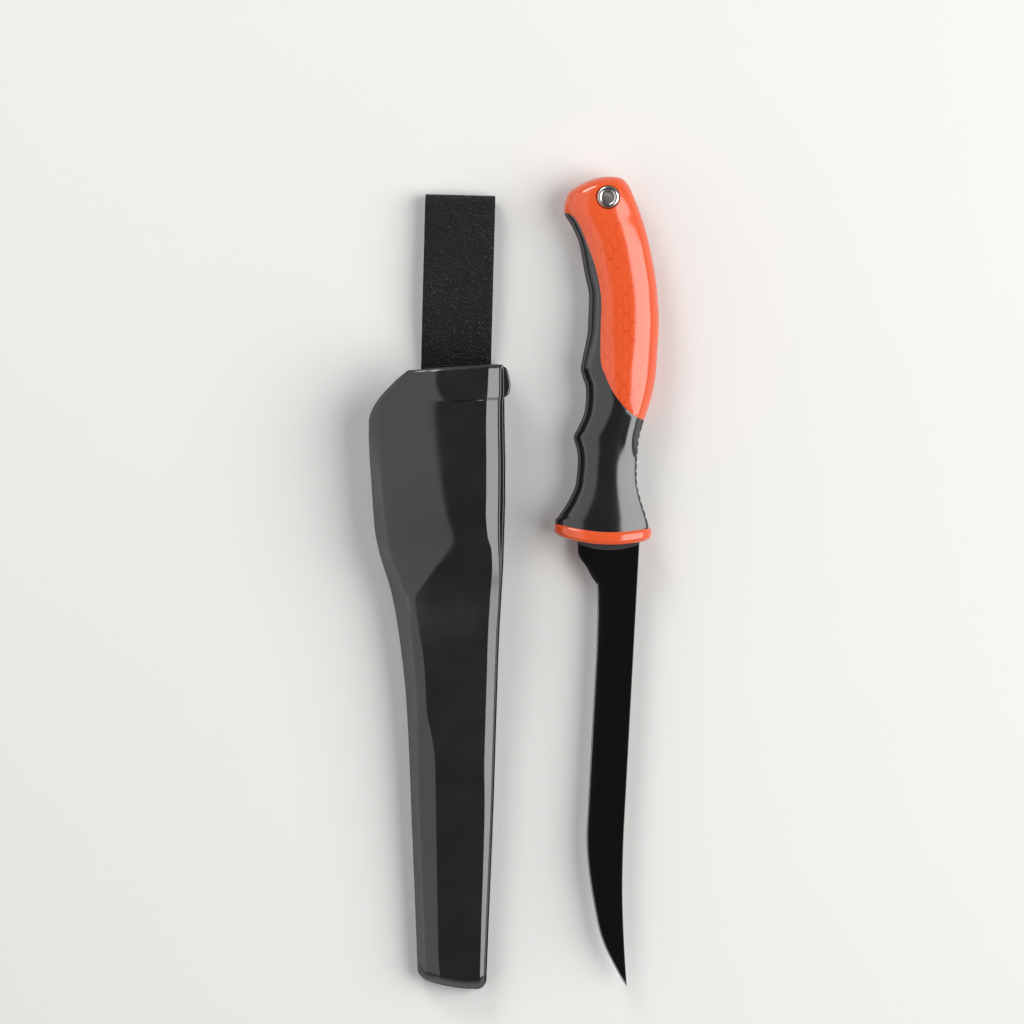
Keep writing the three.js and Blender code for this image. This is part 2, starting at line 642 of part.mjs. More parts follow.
const sheathOutline = sheathPlan(0, true);
const cavity = solid(loft(shellPlaces.map(cavityRing))).intersect(sheathPlan(sheathWall, false));

function makeFront() {
  return solid(loft(shellPlaces.map(frontRing))).intersect(sheathOutline).subtract(cavity);
}

function makeBack() {
  const tabTop = seam(mouthLeft) - seatGap - tabDrop;
  const side = sheathSide(mouthLeft);
  const tabFoot = mouthLeft + tabLap - tabHeight;
  const tab = prism(
    tabOutline.map(([out, up]) => [side + out * tabReach, tabFoot + up * tabHeight]),
    tabTop - tabThickness, tabTop,
  );
  const half = strapWidth / 2 + seatGap;
  const foot = strapNotch - strapEndLength;
  const below = -cutMargin;
  const padHalf = half + sheathWall;
  let shell = solid(loft(shellPlaces.map(backRing))).intersect(sheathOutline).add(tab).subtract(cavity);
  shell = shell.add(box(-padHalf, padHalf, foot - sheathWall, strapNotch, sheathWall / 2, padTop));
  shell = shell.subtract(box(-half, half, foot - seatGap, reach, below, strapSeat));
  shell = shell.subtract(box(-half, half, strapNotch, reach, below, padTop + cutMargin));
  return rivetSides.reduce(
    (body, { u }) => body.subtract(
      upright(rivetShank / 2 + seatGap, u, rivetPlace, below, padTop + cutMargin, 12),
    ),
    shell,
  );
}

// Belt strap: one strap folded into a loop, both ends riveted behind the mouth
const bendPlace = strapNotch + bendOverhang;
const bendHeight = strapLift + strapThickness;
const rivetSides = [
  { name: 'left', u: -rivetSpacing / 2 },
  { name: 'right', u: rivetSpacing / 2 },
];

function acrossStrap(shape) {
  const across = { depth: strapWidth, bevelEnabled: false, curveSegments: 10 };
  const geometry = new THREE.ExtrudeGeometry(shape, across);
  const turn = new THREE.Matrix4().makeBasis(
    new THREE.Vector3(0, 1, 0), new THREE.Vector3(0, 0, 1), new THREE.Vector3(1, 0, 0),
  );
  geometry.applyMatrix4(turn);
  geometry.translate(-strapWidth / 2, 0, 0);
  return geometry;
}

// The loop seen from the side, drawn in by inset, from its bend round the fold and back
function loopOutline(path, inset) {
  const fold = loopDepth / 2 - inset;
  const foldPlace = bendPlace + loopLength - loopDepth / 2;
  const middle = loopRest + loopDepth / 2;
  const low = middle - fold;
  const high = middle + fold;
  const start = bendPlace + (inset === 0 ? 0 : loopNeck);
  const open = inset === 0 ? strapThickness : loopSlit;
  path.moveTo(start, bendHeight - open);
  path.bezierCurveTo(
    start + loopLower.leave, bendHeight - open, start + loopLower.reach, low, start + loopLower.flat, low,
  );
  path.lineTo(foldPlace, low);
  path.absarc(foldPlace, middle, fold, -Math.PI / 2, Math.PI / 2, false);
  path.bezierCurveTo(
    bendPlace + loopUpper.full, high + loopUpper.bulge, start + loopUpper.reach, high,
    start, bendHeight + open,
  );
  if (inset === 0) path.absarc(bendPlace, bendHeight, open, Math.PI / 2, (3 * Math.PI) / 2, false);
  return path;
}

function makeLoop() {
  const shape = loopOutline(new THREE.Shape(), 0);
  shape.holes.push(loopOutline(new THREE.Path(), strapThickness));
  return acrossStrap(shape);
}

function makeStrapEnds() {
  const half = strapWidth / 2;
  const foot = strapNotch - strapEndLength;
  const top = bendPlace - strapThickness - seatGap;
  const plate = prism([
    [-half, top], [-half, foot + strapCorner], [-half + strapCorner, foot], [half - strapCorner, foot],
    [half, foot + strapCorner], [half, top],
  ], strapLift, strapLift + 2 * strapThickness);
  return rivetSides.reduce(
    (body, { u }) => body.subtract(upright(rivetShank / 2 + seatGap, u, rivetPlace, -cutMargin, padTop, 12)),
    plate,
  );
}

function makeRivet(u) {
  const top = strapLift - seatGap;
  const foot = top - rivetHeadThickness;
  const head = rivetHead / 2;
  return turned([
    [0, foot], [head * 0.7, foot], [head, top - rivetHeadThickness * 0.3], [head, top], [rivetShank / 2, top],
    [rivetShank / 2, rivetTop], [0, rivetTop],
  ], u, rivetPlace, 16);
}

// Assembly
const knife = new THREE.Group();
knife.position.set(knifePlace.x, knifePlace.y, guardThickness / 2);
knife.rotation.z = THREE.MathUtils.degToRad(knifePlace.turn);
knife.add(
  piece('blade', surface(makeBlade()), 0x111114, 0.38, 0.7),
  piece('handle_core', surface(makeCore()), 0xee5f32, 0.35, 0),
  piece('grip_overmould', surface(makeGrip()), 0x26262a, 0.6, 0),
  piece('lanyard_eyelet', makeEyelet(), 0xb9bbbd, 0.25, 1),
  piece('eyelet_washer', ringWasher(
    eyeletBarrel / 2 + seatGap, eyeletFlange / 2, washerFoot, washerTop, eyeletPlace.u, eyeletV,
  ), 0xb9bbbd, 0.3, 1),
);

const sheath = new THREE.Group();
sheath.position.set(sheathPlace.x, sheathPlace.y, 0);
sheath.rotation.z = THREE.MathUtils.degToRad(sheathPlace.turn);
sheath.add(
  piece('sheath_front', surface(makeFront()), 0x232327, 0.35, 0),
  piece('sheath_back', surface(makeBack()), 0x202024, 0.4, 0),
  piece('belt_loop', makeLoop(), 0x232428, 0.65, 0),
  piece('belt_strap_ends', surface(makeStrapEnds()), 0x232428, 0.65, 0),
);
rivetSides.forEach((side) => {
  const foot = padTop + seatGap;
  const washer = ringWasher(
    rivetShank / 2 + seatGap, washerDiameter / 2, foot, foot + washerThickness, side.u, rivetPlace,
  );
  sheath.add(
    piece(`loop_rivet_${side.name}`, makeRivet(side.u), 0x9a9b9d, 0.35, 1),
    piece(`rivet_washer_${side.name}`, washer, 0x9a9b9d, 0.4, 1),
  );
});

// The whole set stands with the middle of its footprint on the origin.
const set = new THREE.Group();
set.add(knife, sheath);
const extent = new THREE.Box3().setFromObject(set, true);
const middle = extent.getCenter(new THREE.Vector3());
set.position.set(-middle.x, -middle.y, -extent.min.z);

export default set;
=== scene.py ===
import math

import bmesh
import bpy
import numpy as np
from mathutils import Matrix, Vector


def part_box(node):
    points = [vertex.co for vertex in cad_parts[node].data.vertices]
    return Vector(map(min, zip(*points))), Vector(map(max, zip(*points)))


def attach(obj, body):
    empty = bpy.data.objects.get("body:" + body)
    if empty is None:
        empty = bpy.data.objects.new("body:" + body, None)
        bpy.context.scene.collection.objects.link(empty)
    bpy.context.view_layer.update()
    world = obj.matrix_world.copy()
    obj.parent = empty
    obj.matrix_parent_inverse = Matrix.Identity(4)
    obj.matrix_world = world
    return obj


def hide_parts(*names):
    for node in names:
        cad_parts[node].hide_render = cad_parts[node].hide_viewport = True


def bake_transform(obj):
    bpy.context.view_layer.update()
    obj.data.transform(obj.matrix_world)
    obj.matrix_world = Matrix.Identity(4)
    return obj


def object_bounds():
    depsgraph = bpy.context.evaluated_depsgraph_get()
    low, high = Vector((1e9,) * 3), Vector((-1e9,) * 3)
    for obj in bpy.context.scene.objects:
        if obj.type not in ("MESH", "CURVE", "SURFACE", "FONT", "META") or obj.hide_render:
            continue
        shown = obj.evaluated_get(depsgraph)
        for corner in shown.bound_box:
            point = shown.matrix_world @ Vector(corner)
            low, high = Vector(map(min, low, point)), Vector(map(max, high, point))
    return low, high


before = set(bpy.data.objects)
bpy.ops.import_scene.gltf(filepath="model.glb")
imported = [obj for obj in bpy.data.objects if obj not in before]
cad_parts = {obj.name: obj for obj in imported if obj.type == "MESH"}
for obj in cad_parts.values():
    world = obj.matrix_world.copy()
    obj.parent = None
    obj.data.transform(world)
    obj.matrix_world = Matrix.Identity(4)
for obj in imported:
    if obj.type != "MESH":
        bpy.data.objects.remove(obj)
cad_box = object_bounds()

# Blade
# A stamped steel strip, flat ground from spine to edge and coated black; only the sharpened bevel is bare.
# Its tang runs into the handle, which is moulded round it. Sizes are in millimetres along the knife, from
# the middle of its guard, and the knife's placing turns them into metres.
EYELET_SPOT = Vector((-6.05, 128.2, 0.0))
KNIFE_TURN = math.radians(-3.1)
MILLIMETRE = 0.001
BLADE_LENGTH = 162.8
BLADE_WIDTH = 13.9
BLADE_SPINE = 12.6
BLADE_HALF = 0.9
TIP_HALF = 0.35
SWEEP_LENGTH = 55.0
SWEEP_RISE = 4.2
HEEL_DROP = 8.9
HEEL_LENGTH = 40.0
RAMP_LENGTH = 16.0
BLUNT_SHARE = 0.9
COATED_SHARE = 0.94
BEVEL_HEIGHT = 0.6
BEVEL_HALF = 0.225
EDGE_HALF = 0.06
SPINE_ROUND = 0.2
BLADE_SEAT = 3.0
TANG_LENGTH = 92.0
TANG_LEFT = -5.0
TANG_RIGHT = 6.0
COATING_DARK = (0.0022, 0.0022, 0.0027, 1.0)
COATING_WORN = (0.0055, 0.0055, 0.0063, 1.0)
GROUND_DARK = (0.20, 0.20, 0.205, 1.0)
GROUND_STEEL = (0.36, 0.36, 0.37, 1.0)
# Painted reflection: a paler grey band on the coat just below the guard, curved like the guard.
PAINTED_GUARD_REFLECTION = (0.060, 0.063, 0.065, 1.0)
STRIP_HEIGHT = 2.0
STRIP_BEND = 0.0174
STRIP_SOFT = 0.2

eyelet_low, eyelet_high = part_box("lanyard_eyelet")
core_low, core_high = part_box("handle_core")
eyelet_middle = (eyelet_low + eyelet_high) / 2
eyelet_middle.z = (core_low.z + core_high.z) / 2
knife_place = (
    Matrix.Translation(eyelet_middle)
    @ Matrix.Rotation(KNIFE_TURN, 4, "Z")
    @ Matrix.Scale(MILLIMETRE, 4)
    @ Matrix.Translation(-EYELET_SPOT)
)


def through(*pairs):
    """A smooth value through (place, value) pairs that never swings past them."""
    places, values = np.array(pairs, float).T
    slopes = np.diff(values) / np.diff(places)
    tangents = np.concatenate((slopes[:1], slopes[:-1] * slopes[1:], slopes[-1:]))
    sums = slopes[:-1] + slopes[1:]
    rising = tangents[1:-1] > 0
    tangents[1:-1] = np.where(rising, 2 * tangents[1:-1] / np.where(rising, sums, 1), 0)

    def value(place):
        x = np.clip(place, places[0], places[-1])
        i = np.clip(np.searchsorted(places, x) - 1, 0, len(places) - 2)
        span = places[i + 1] - places[i]
        t = (x - places[i]) / span
        rise = values[i + 1] - values[i]
        start = tangents[i] * span
        end = tangents[i + 1] * span
        bend = t * t * (3 * rise - 2 * start - end)
        return values[i] + start * t + bend + t**3 * (start + end - 2 * rise)

    return value


def ring_faces(rows, columns):
    """Quads round a stack of rings, and a face over each end."""
    faces = []
    for r in range(rows - 1):
        for c in range(columns):
            a = r * columns + c
            b = r * columns + (c + 1) % columns
            faces.append((a, b, b + columns, a + columns))
    faces.append(tuple(reversed(range(columns))))
    faces.append(tuple(range((rows - 1) * columns, rows * columns)))
    return faces


def make_piece(name, points, faces, place, finishes=None):
    mesh = bpy.data.meshes.new(name)
    mesh.from_pydata([place @ Vector(point) for point in points], [], faces)
    if finishes is not None:
        mesh.polygons.foreach_set("material_index", finishes)
    skin = bmesh.new()
    skin.from_mesh(mesh)
    bmesh.ops.remove_doubles(skin, verts=skin.verts, dist=2e-6)
    bmesh.ops.recalc_face_normals(skin, faces=skin.faces)
    skin.to_mesh(mesh)
    skin.free()
    piece = bpy.data.objects.new(name, mesh)
    bpy.context.collection.objects.link(piece)
    return piece


def smooth_below(piece, degrees):
    piece.data.shade_smooth()
    piece.data.set_sharp_from_angle(angle=math.radians(degrees))


def feed(tree, made, inputs):
    """Sets a node's sockets to values, or links them to other sockets."""
    for name, value in inputs.items():
        if isinstance(value, bpy.types.NodeSocket):
            tree.links.new(value, made.inputs[name])
        else:
            made.inputs[name].default_value = value


def node(tree, kind, inputs=None, **settings):
    made = tree.nodes.new(kind)
    for name, value in settings.items():
        setattr(made, name, value)
    feed(tree, made, inputs or {})
    return made


def calc(tree, operation, a, b=0.0, c=0.0):
    return node(tree, "ShaderNodeMath", {0: a, 1: b, 2: c}, operation=operation).outputs[0]


def ramp(tree, value, low, high, to_low=0.0, to_high=1.0):
    spread = {"Value": value, "From Min": low, "From Max": high, "To Min": to_low, "To Max": to_high}
    return node(tree, "ShaderNodeMapRange", spread, interpolation_type="SMOOTHSTEP").outputs[0]


def mix_colour(tree, share, a, b):
    return node(tree, "ShaderNodeMix", {0: share, 6: a, 7: b}, data_type="RGBA").outputs[2]


def stretch(tree, vector, scale):
    return node(tree, "ShaderNodeVectorMath", {0: vector, 1: scale}, operation="MULTIPLY").outputs[0]


def noise(tree, vector, scale, detail):
    return node(tree, "ShaderNodeTexNoise", {"Vector": vector, "Scale": scale, "Detail": detail}).outputs[0]


def bump(tree, height, distance, below=None):
    """A bumped normal, on top of another one where it is given."""
    under = {} if below is None else {"Normal": below}
    return node(tree, "ShaderNodeBump", {"Height": height, "Distance": distance, **under}).outputs[0]


def parts(tree, vector):
    return node(tree, "ShaderNodeSeparateXYZ", {0: vector}).outputs


def new_material(name):
    material = bpy.data.materials.new(name)
    material.use_nodes = True
    return material, material.node_tree, material.node_tree.nodes["Principled BSDF"]


def millimetres(tree, place):
    """Texture places in millimetres along the knife or the sheath."""
    back = place.inverted()
    spots = node(tree, "ShaderNodeTexCoord").outputs["Object"]
    turned = {
        "Vector": spots,
        "Location": back.translation,
        "Rotation": back.to_euler(),
        "Scale": back.to_scale(),
    }
    return node(tree, "ShaderNodeMapping", turned).outputs[0]


def effect_group(name, inputs, outputs):
    tree = bpy.data.node_groups.new(name, "ShaderNodeTree")
    for title, kind in inputs:
        tree.interface.new_socket(name=title, in_out="INPUT", socket_type=kind)
    for title in outputs:
        tree.interface.new_socket(name=title, in_out="OUTPUT", socket_type="NodeSocketFloat")
    return tree, tree.nodes.new("NodeGroupInput"), tree.nodes.new("NodeGroupOutput")


def use_effect(tree, group, inputs):
    return node(tree, "ShaderNodeGroup", inputs, node_tree=group).outputs


def make_skin_effect():
    """Fine grain, slow waviness and faint clouding, as every moulded or coated surface has."""
    tree, given, made = effect_group(
        "surface_skin",
        (
            ("Vector", "NodeSocketVector"),
            ("Grain Scale", "NodeSocketFloat"),
            ("Wave Scale", "NodeSocketFloat"),
            ("Cloud Scale", "NodeSocketFloat"),
        ),
        ("Grain", "Wave", "Cloud"),
    )
    for title, detail, rough in (("Grain", 2.0, 0.6), ("Wave", 1.0, 0.4), ("Cloud", 5.0, 0.6)):
        pattern = {
            "Vector": given.outputs["Vector"],
            "Scale": given.outputs[f"{title} Scale"],
            "Detail": detail,
            "Roughness": rough,
        }
        tree.links.new(node(tree, "ShaderNodeTexNoise", pattern).outputs[0], made.inputs[title])
    return tree


def make_marks_effect():
    """Hairline scuffs in two directions and stray specks, as handling leaves on a dark surface."""
    tree, given, made = effect_group(
        "handling_marks",
        (("Vector", "NodeSocketVector"), ("Density", "NodeSocketFloat")),
        ("Scuffs", "Specks"),
    )
    scuffs = []
    for turn, thin in ((0.5, 1.1), (-0.9, 1.4)):
        turned = {
            "Vector": given.outputs["Vector"],
            "Rotation": (0.0, 0.0, turn),
            "Scale": (thin, 0.035, 0.3),
        }
        lines = node(tree, "ShaderNodeMapping", turned).outputs[0]
        scuffs.append(ramp(tree, noise(tree, lines, 1.6, 3.0), 0.66, 0.74))
    both = calc(tree, "MAXIMUM", *scuffs)
    patches = ramp(tree, noise(tree, given.outputs["Vector"], 0.05, 2.0), 0.45, 0.7)
    scuff = calc(tree, "MULTIPLY", calc(tree, "MULTIPLY", both, patches), given.outputs["Density"])
    tree.links.new(scuff, made.inputs["Scuffs"])
    dots = node(tree, "ShaderNodeTexVoronoi", {"Vector": given.outputs["Vector"], "Scale": 0.21})
    near = ramp(tree, dots.outputs["Distance"], 0.045, 0.02)
    chosen = node(tree, "ShaderNodeSeparateColor", {0: dots.outputs["Color"]}).outputs[0]
    speck = calc(tree, "MULTIPLY", near, calc(tree, "GREATER_THAN", chosen, 0.72))
    tree.links.new(calc(tree, "MULTIPLY", speck, given.outputs["Density"]), made.inputs["Specks"])
    return tree


surface_skin = make_skin_effect()
handling_marks = make_marks_effect()


def skin_of(tree, spots, grain, wave, cloud):
    scales = {"Vector": spots, "Grain Scale": grain, "Wave Scale": wave, "Cloud Scale": cloud}
    return use_effect(tree, surface_skin, scales)


sweep_share = through(
    (0, 0.01), (0.03, 0.09), (0.16, 0.35), (0.262, 0.53), (0.372, 0.66), (0.582, 0.8), (0.78, 0.922),
    (0.93, 0.982), (1.06, 1), (1.2, 1),
)
sweep_curve = through((0, 1), (0.16, 0.74), (0.432, 0.37), (0.652, 0.15), (0.85, 0.05), (1.06, 0), (1.2, 0))
heel_curve = through(
    (0, 1), (0.09, 0.97), (0.23, 0.55), (0.31, 0.34), (0.37, 0.14), (0.43, 0.1), (0.55, 0.067),
    (0.66, 0.036), (1, 0),
)


def blade_ring(v):
    share = (v + BLADE_LENGTH) / SWEEP_LENGTH
    spine = BLADE_SPINE + SWEEP_RISE * float(sweep_curve(share))
    edge = spine - BLADE_WIDTH * float(sweep_share(share)) - HEEL_DROP * float(heel_curve(-v / HEEL_LENGTH))
    half = TIP_HALF + (BLADE_HALF - TIP_HALF) * min(1.0, 1 + v / BLADE_LENGTH)
    blunt = float(np.clip(1 + v / RAMP_LENGTH, 0, 1))
    if v > BLADE_SEAT:
        spine, edge, blunt = TANG_RIGHT, TANG_LEFT, 1.0
    width = spine - edge
    bevel = min(BEVEL_HEIGHT, width / 2)
    shoulder = min(half, BEVEL_HALF + (half - BEVEL_HALF) * blunt)
    keen = min(shoulder, EDGE_HALF + (half * BLUNT_SHARE - EDGE_HALF) * blunt)
    corner = min(SPINE_ROUND, width / 5, half / 2)
    side = [(spine, half - corner), (spine - corner * 0.3, half - corner * 0.3), (spine - corner, half)]
    for step in (0.2, 0.4, 0.6, 0.8):
        run = spine - corner + (edge + bevel - spine + corner) * step
        side.append((run, half + (shoulder - half) * step))
    side += [(edge + bevel, shoulder), (edge, keen)]
    ring = side + [(u, -z) for u, z in reversed(side)]
    return [(u, v, z) for u, z in ring]


def make_blade():
    curved = -BLADE_LENGTH + SWEEP_LENGTH * np.linspace(0, 1, 130) ** 1.5
    straight = np.linspace(SWEEP_LENGTH - BLADE_LENGTH, -HEEL_LENGTH, 30)[1:]
    heel = np.linspace(-HEEL_LENGTH, BLADE_SEAT, 96)[1:]
    tang = np.linspace(BLADE_SEAT + 0.02, TANG_LENGTH, 12)
    places = np.concatenate((curved, straight, heel, tang))
    rings = [blade_ring(v) for v in places]
    columns = len(rings[0])
    bevel_columns = range(columns // 2 - 2, columns // 2 + 1)
    finishes = []
    for v in places[:-1]:
        keen = v < -RAMP_LENGTH * COATED_SHARE
        finishes += [int(keen and c in bevel_columns) for c in range(columns)]
    points = [point for ring in rings for point in ring]
    return make_piece("blade", points, ring_faces(len(rings), columns), knife_place, finishes + [0, 0])


def make_coating():
    """Satin black coat; fine grinding lines show faintly through it. A grey band just below the guard is
    painted reflection.
    """
    material, tree, shader = new_material("black_blade_coating")
    spots = millimetres(tree, knife_place)
    skin = skin_of(tree, spots, 9.0, 0.12, 0.05)
    marks = use_effect(tree, handling_marks, {"Vector": spots, "Density": 1.0})
    across = stretch(tree, spots, (0.15, 5.0, 0.15))
    lines = noise(tree, across, 1.0, 3.0)
    worn = calc(tree, "MULTIPLY_ADD", marks["Scuffs"], 0.5, calc(tree, "MULTIPLY", skin["Cloud"], 0.5))
    tone = mix_colour(tree, worn, COATING_DARK, COATING_WORN)
    # Painted reflection: a grey band just below the guard, bent to follow its curve, mixed into the coat's
    # colour.
    place = parts(tree, spots)
    bent = calc(tree, "MULTIPLY", calc(tree, "MULTIPLY", place[0], place[0]), STRIP_BEND)
    past = calc(tree, "SUBTRACT", calc(tree, "ADD", place[1], STRIP_HEIGHT), bent)
    painted_reflection = ramp(tree, past, -STRIP_SOFT, STRIP_SOFT)
    gloss = calc(tree, "MULTIPLY_ADD", lines, 0.08, 0.14)
    feed(tree, shader, {
        "Base Color": mix_colour(tree, painted_reflection, tone, PAINTED_GUARD_REFLECTION),
        "Roughness": calc(tree, "MULTIPLY_ADD", marks["Scuffs"], 0.12, gloss),
        "Normal": bump(tree, calc(tree, "ADD", lines, skin["Grain"]), 0.000003),
        "IOR": 1.45,
    })
    return material


def make_ground_steel():
    """Bare sharpened steel with fine stone lines running from shoulder to edge."""
    material, tree, shader = new_material("ground_edge_steel")
    spots = millimetres(tree, knife_place)
    lines = noise(tree, stretch(tree, spots, (0.4, 9.0, 0.4)), 1.0, 4.0)
    feed(tree, shader, {
        "Base Color": mix_colour(tree, lines, GROUND_DARK, GROUND_STEEL),
        "Roughness": ramp(tree, lines, 0.3, 0.7, 0.24, 0.42),
        "Normal": bump(tree, lines, 0.000004),
        "Metallic": 1.0,
    })
    return material


blade = make_blade()
blade.data.materials.append(make_coating())
blade.data.materials.append(make_ground_steel())
smooth_below(blade, 20)
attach(blade, "knife")
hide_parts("blade")

# Handle core
# The first shot of the handle: hard orange plastic round the tang, which shows as the guard, the back panel
# and the butt. A fine net of long six-sided scales is moulded into the panel's sides.
HANDLE_LENGTH = 136.1
HANDLE_BASE = 3.6
HANDLE_ROUNDNESS = 2.4
HANDLE_SIDES = 132
RIDGED_END = 46.0
DOME_LENGTH = 12.0
THUMB_LEAN = 0.577
THUMB_SWELL = 1.35
FLANK_START = -3.3
FLANK_WIDTH = 3.5
SHOULDER_SHARE = 0.78
SHOULDER_WIDTH = 2.9
GRIP_SKIN = 2.4
CORE_TOP = HANDLE_LENGTH - 18.0
GUARD_CENTRE = -1.2
GUARD_HALF_SPAN = 18.0
GUARD_HALF_THICKNESS = 9.8
GUARD_HEIGHT = 4.6
GUARD_DISH = 2.75
SEAM_DEPTH = 0.14
SEAM_WIDTH = 0.3
EYELET_SEAT = 6.6
EYELET_SEAT_RADIUS = 4.5
EYELET_HOLE_RADIUS = 2.9
SLOT_HALF = 1.02
SLOT_PLAY = 0.12
TANG_PLAY = 0.1
SCALE_WIDTH = 3.15
SCALE_LENGTH = 6.6
SCALE_SHIFT = (1.1, 3.5, 0.0)
SCALE_BEND = 0.0023
SCALE_BEND_START = 70.0
REACH = 260.0
ORANGE = (0.745, 0.098, 0.026, 1.0)
ORANGE_DEEP = (0.635, 0.073, 0.017, 1.0)
ORANGE_LINE = (0.530, 0.050, 0.010, 1.0)


def butt(distance):
    return HANDLE_LENGTH - distance


handle_belly = through(
    (HANDLE_BASE, -19.1), (8.0, -18.9), (9.8, -17.7), (11.8, -16.5), (16.5, -14), (22.5, -12.1), (30, -11.8),
    (34.4, -12.4), (39.1, -13.8), (43.2, -12.2), (49.3, -10.3), (53.7, -10.1), (58, -10.4), (61, -11.6),
    (64.7, -12.6), (69, -12.1), (butt(57), -10.8), (butt(45), -11), (butt(36.6), -13), (butt(25), -15.8),
    (butt(19), -18.8), (butt(13.3), -22.1), (butt(7.3), -20.9), (butt(4.1), -17.4), (butt(0.9), -11.2),
    (butt(0), -7),
)
handle_back = through(
    (HANDLE_BASE, 16.4), (9.1, 15.2), (14.2, 13.4), (18.6, 11.8), (23.7, 10.5), (31, 10.1), (38.5, 10.3),
    (44.5, 11.3), (50.6, 13), (56.6, 14.4), (64, 15.3), (butt(56), 15.5), (butt(41), 14.1),
    (butt(29.3), 11.6), (butt(17.7), 8.2), (butt(6.1), 3.2), (butt(2.4), 1.1), (butt(0.4), -1.2),
    (butt(0), -3),
)
handle_half = through(
    (HANDLE_BASE, 9.3), (10, 8.7), (22, 8), (32, 8), (65, 9.6), (butt(52), 9.6), (butt(20), 8.6),
    (butt(8), 8.3), (butt(5), 7.95), (butt(3), 7.2), (butt(1.5), 6), (butt(0.6), 4.75), (butt(0.15), 3.45),
    (butt(0), 2.4),
)
thumb_flat = through(
    (HANDLE_BASE, 0), (5, 0.1), (7.6, 0.95), (9, 1), (31, 1), (38, 0.55), (46, 0.2), (62, 0),
    (HANDLE_LENGTH, 0),
)
shoulder_fill = through(
    (HANDLE_BASE, 0), (28, 0), (34, 0.6), (40, 1.15), (46, 1.1), (58, 0.3), (68, 0), (HANDLE_LENGTH, 0)
)
flank_fall = through(
    (HANDLE_BASE, 0), (28, 0), (36, 0.35), (46, 0.8), (56, 1), (65, 1.1), (71, 0.8), (80, 0),
    (HANDLE_LENGTH, 0),
)
SHOT_POINTS = (
    (-26, butt(13.6)), (-20.5, butt(14.7)), (-17.6, butt(16.6)), (-14.5, butt(21.8)), (-9.5, butt(33.5)),
    (-6.6, butt(45)), (-6.1, butt(58)), (-5.35, 67.3), (-3.1, 61.5), (0.1, 55.8), (5.2, 50.2), (9.1, 47.6),
    (13, 46.6), (22, 46),
)


def spline_through(points, steps):
    """An even smooth curve through the points of a line in plan."""
    known = np.array(points, float)
    padded = np.concatenate((known[:1], known, known[-1:]))
    curve = []
    for i in range(len(known) - 1):
        before, start, end, after = padded[i:i + 4]
        leave, arrive = (end - before) / 2, (after - start) / 2
        for t in np.linspace(0, 1, steps, endpoint=False):
            cubic = (2 * start - 2 * end + leave + arrive) * t**3
            curve.append(cubic + (3 * end - 3 * start - 2 * leave - arrive) * t**2 + leave * t + start)
    return np.array(curve + [known[-1]])


shot_line = spline_through(SHOT_POINTS, 14)


def seam_distance(u, v):
    """Distance in plan from the line where the two shots meet."""
    near = np.full(u.shape, 1e9)
    for place in shot_line:
        near = np.minimum(near, (u - place[0]) ** 2 + (v - place[1]) ** 2)
    return np.sqrt(near)


def signed_power(value, power):
    return np.sign(value) * np.abs(value) ** power


def handle_rings(inset, places, sides):
    """Oval rings that follow belly, back and thickness, with a flat for the thumb on the back near the guard,
    and the outward direction at each point."""
    angle = np.linspace(0, 2 * math.pi, sides, endpoint=False)
    c, s = np.cos(angle), np.sin(angle)
    power = 2 / HANDLE_ROUNDNESS
    v = np.asarray(places, float)[:, None]
    left, right = handle_belly(v) + inset, handle_back(v) - inset
    wide, thick = (right - left) / 2, handle_half(v) - inset
    u = (left + right) / 2 + wide * signed_power(c, power)
    z = thick * np.abs(s) ** power
    aside = u - (left + right) / 2
    flank = 0.5 - 0.5 * np.tanh((aside - FLANK_START) / FLANK_WIDTH)
    shoulder = np.exp(-(((aside - SHOULDER_SHARE * wide) / SHOULDER_WIDTH) ** 2))
    ratio = (THUMB_LEAN * wide / thick) ** (1 / (2 - power))
    touch = (left + right) / 2 + wide * (ratio / np.hypot(1, ratio)) ** power
    plane = thick / np.hypot(1, ratio) ** power - THUMB_LEAN * (u - touch)
    flat = np.where(u > touch, np.minimum(plane, THUMB_SWELL * z), z)
    z = np.sign(s) * (z + thumb_flat(v) * np.maximum(flat - z, 0))
    z = z * (1 + (shoulder_fill(v) * shoulder - flank_fall(v) * flank) / thick)
    out = np.stack((signed_power(c, 2 - power) / wide, 0 * u, signed_power(s, 2 - power) / thick), 2)
    out /= np.linalg.norm(out, axis=2, keepdims=True)
    return np.stack((u, v + 0 * u, z), 2), out


def handle_places():
    ridged = np.arange(HANDLE_BASE, RIDGED_END, 0.26)
    plain = np.arange(RIDGED_END, butt(DOME_LENGTH), 0.62)
    dome = butt(DOME_LENGTH) + DOME_LENGTH * np.sin(np.linspace(0, math.pi / 2, 40))
    return np.concatenate((ridged, plain, dome))


def loft_piece(name, rings):
    rows, columns = rings.shape[:2]
    return make_piece(name, rings.reshape(-1, 3), ring_faces(rows, columns), knife_place)


def plan_piece(name, outline, low, high, place):
    """An outline in plan, run straight up from low to high."""
    count = len(outline)
    points = [(u, v, z) for z in (low, high) for u, v in outline]
    return make_piece(name, points, ring_faces(2, count), place)


def round_piece(name, centre, radius, low, high, place, sides=64):
    turns = np.linspace(0, 2 * math.pi, sides, endpoint=False)
    outline = [(centre[0] + radius * math.cos(t), centre[1] + radius * math.sin(t)) for t in turns]
    return plan_piece(name, outline, low, high, place)


def box_piece(name, u0, u1, v0, v1, z0, z1, place):
    return plan_piece(name, [(u0, v0), (u1, v0), (u1, v1), (u0, v1)], z0, z1, place)


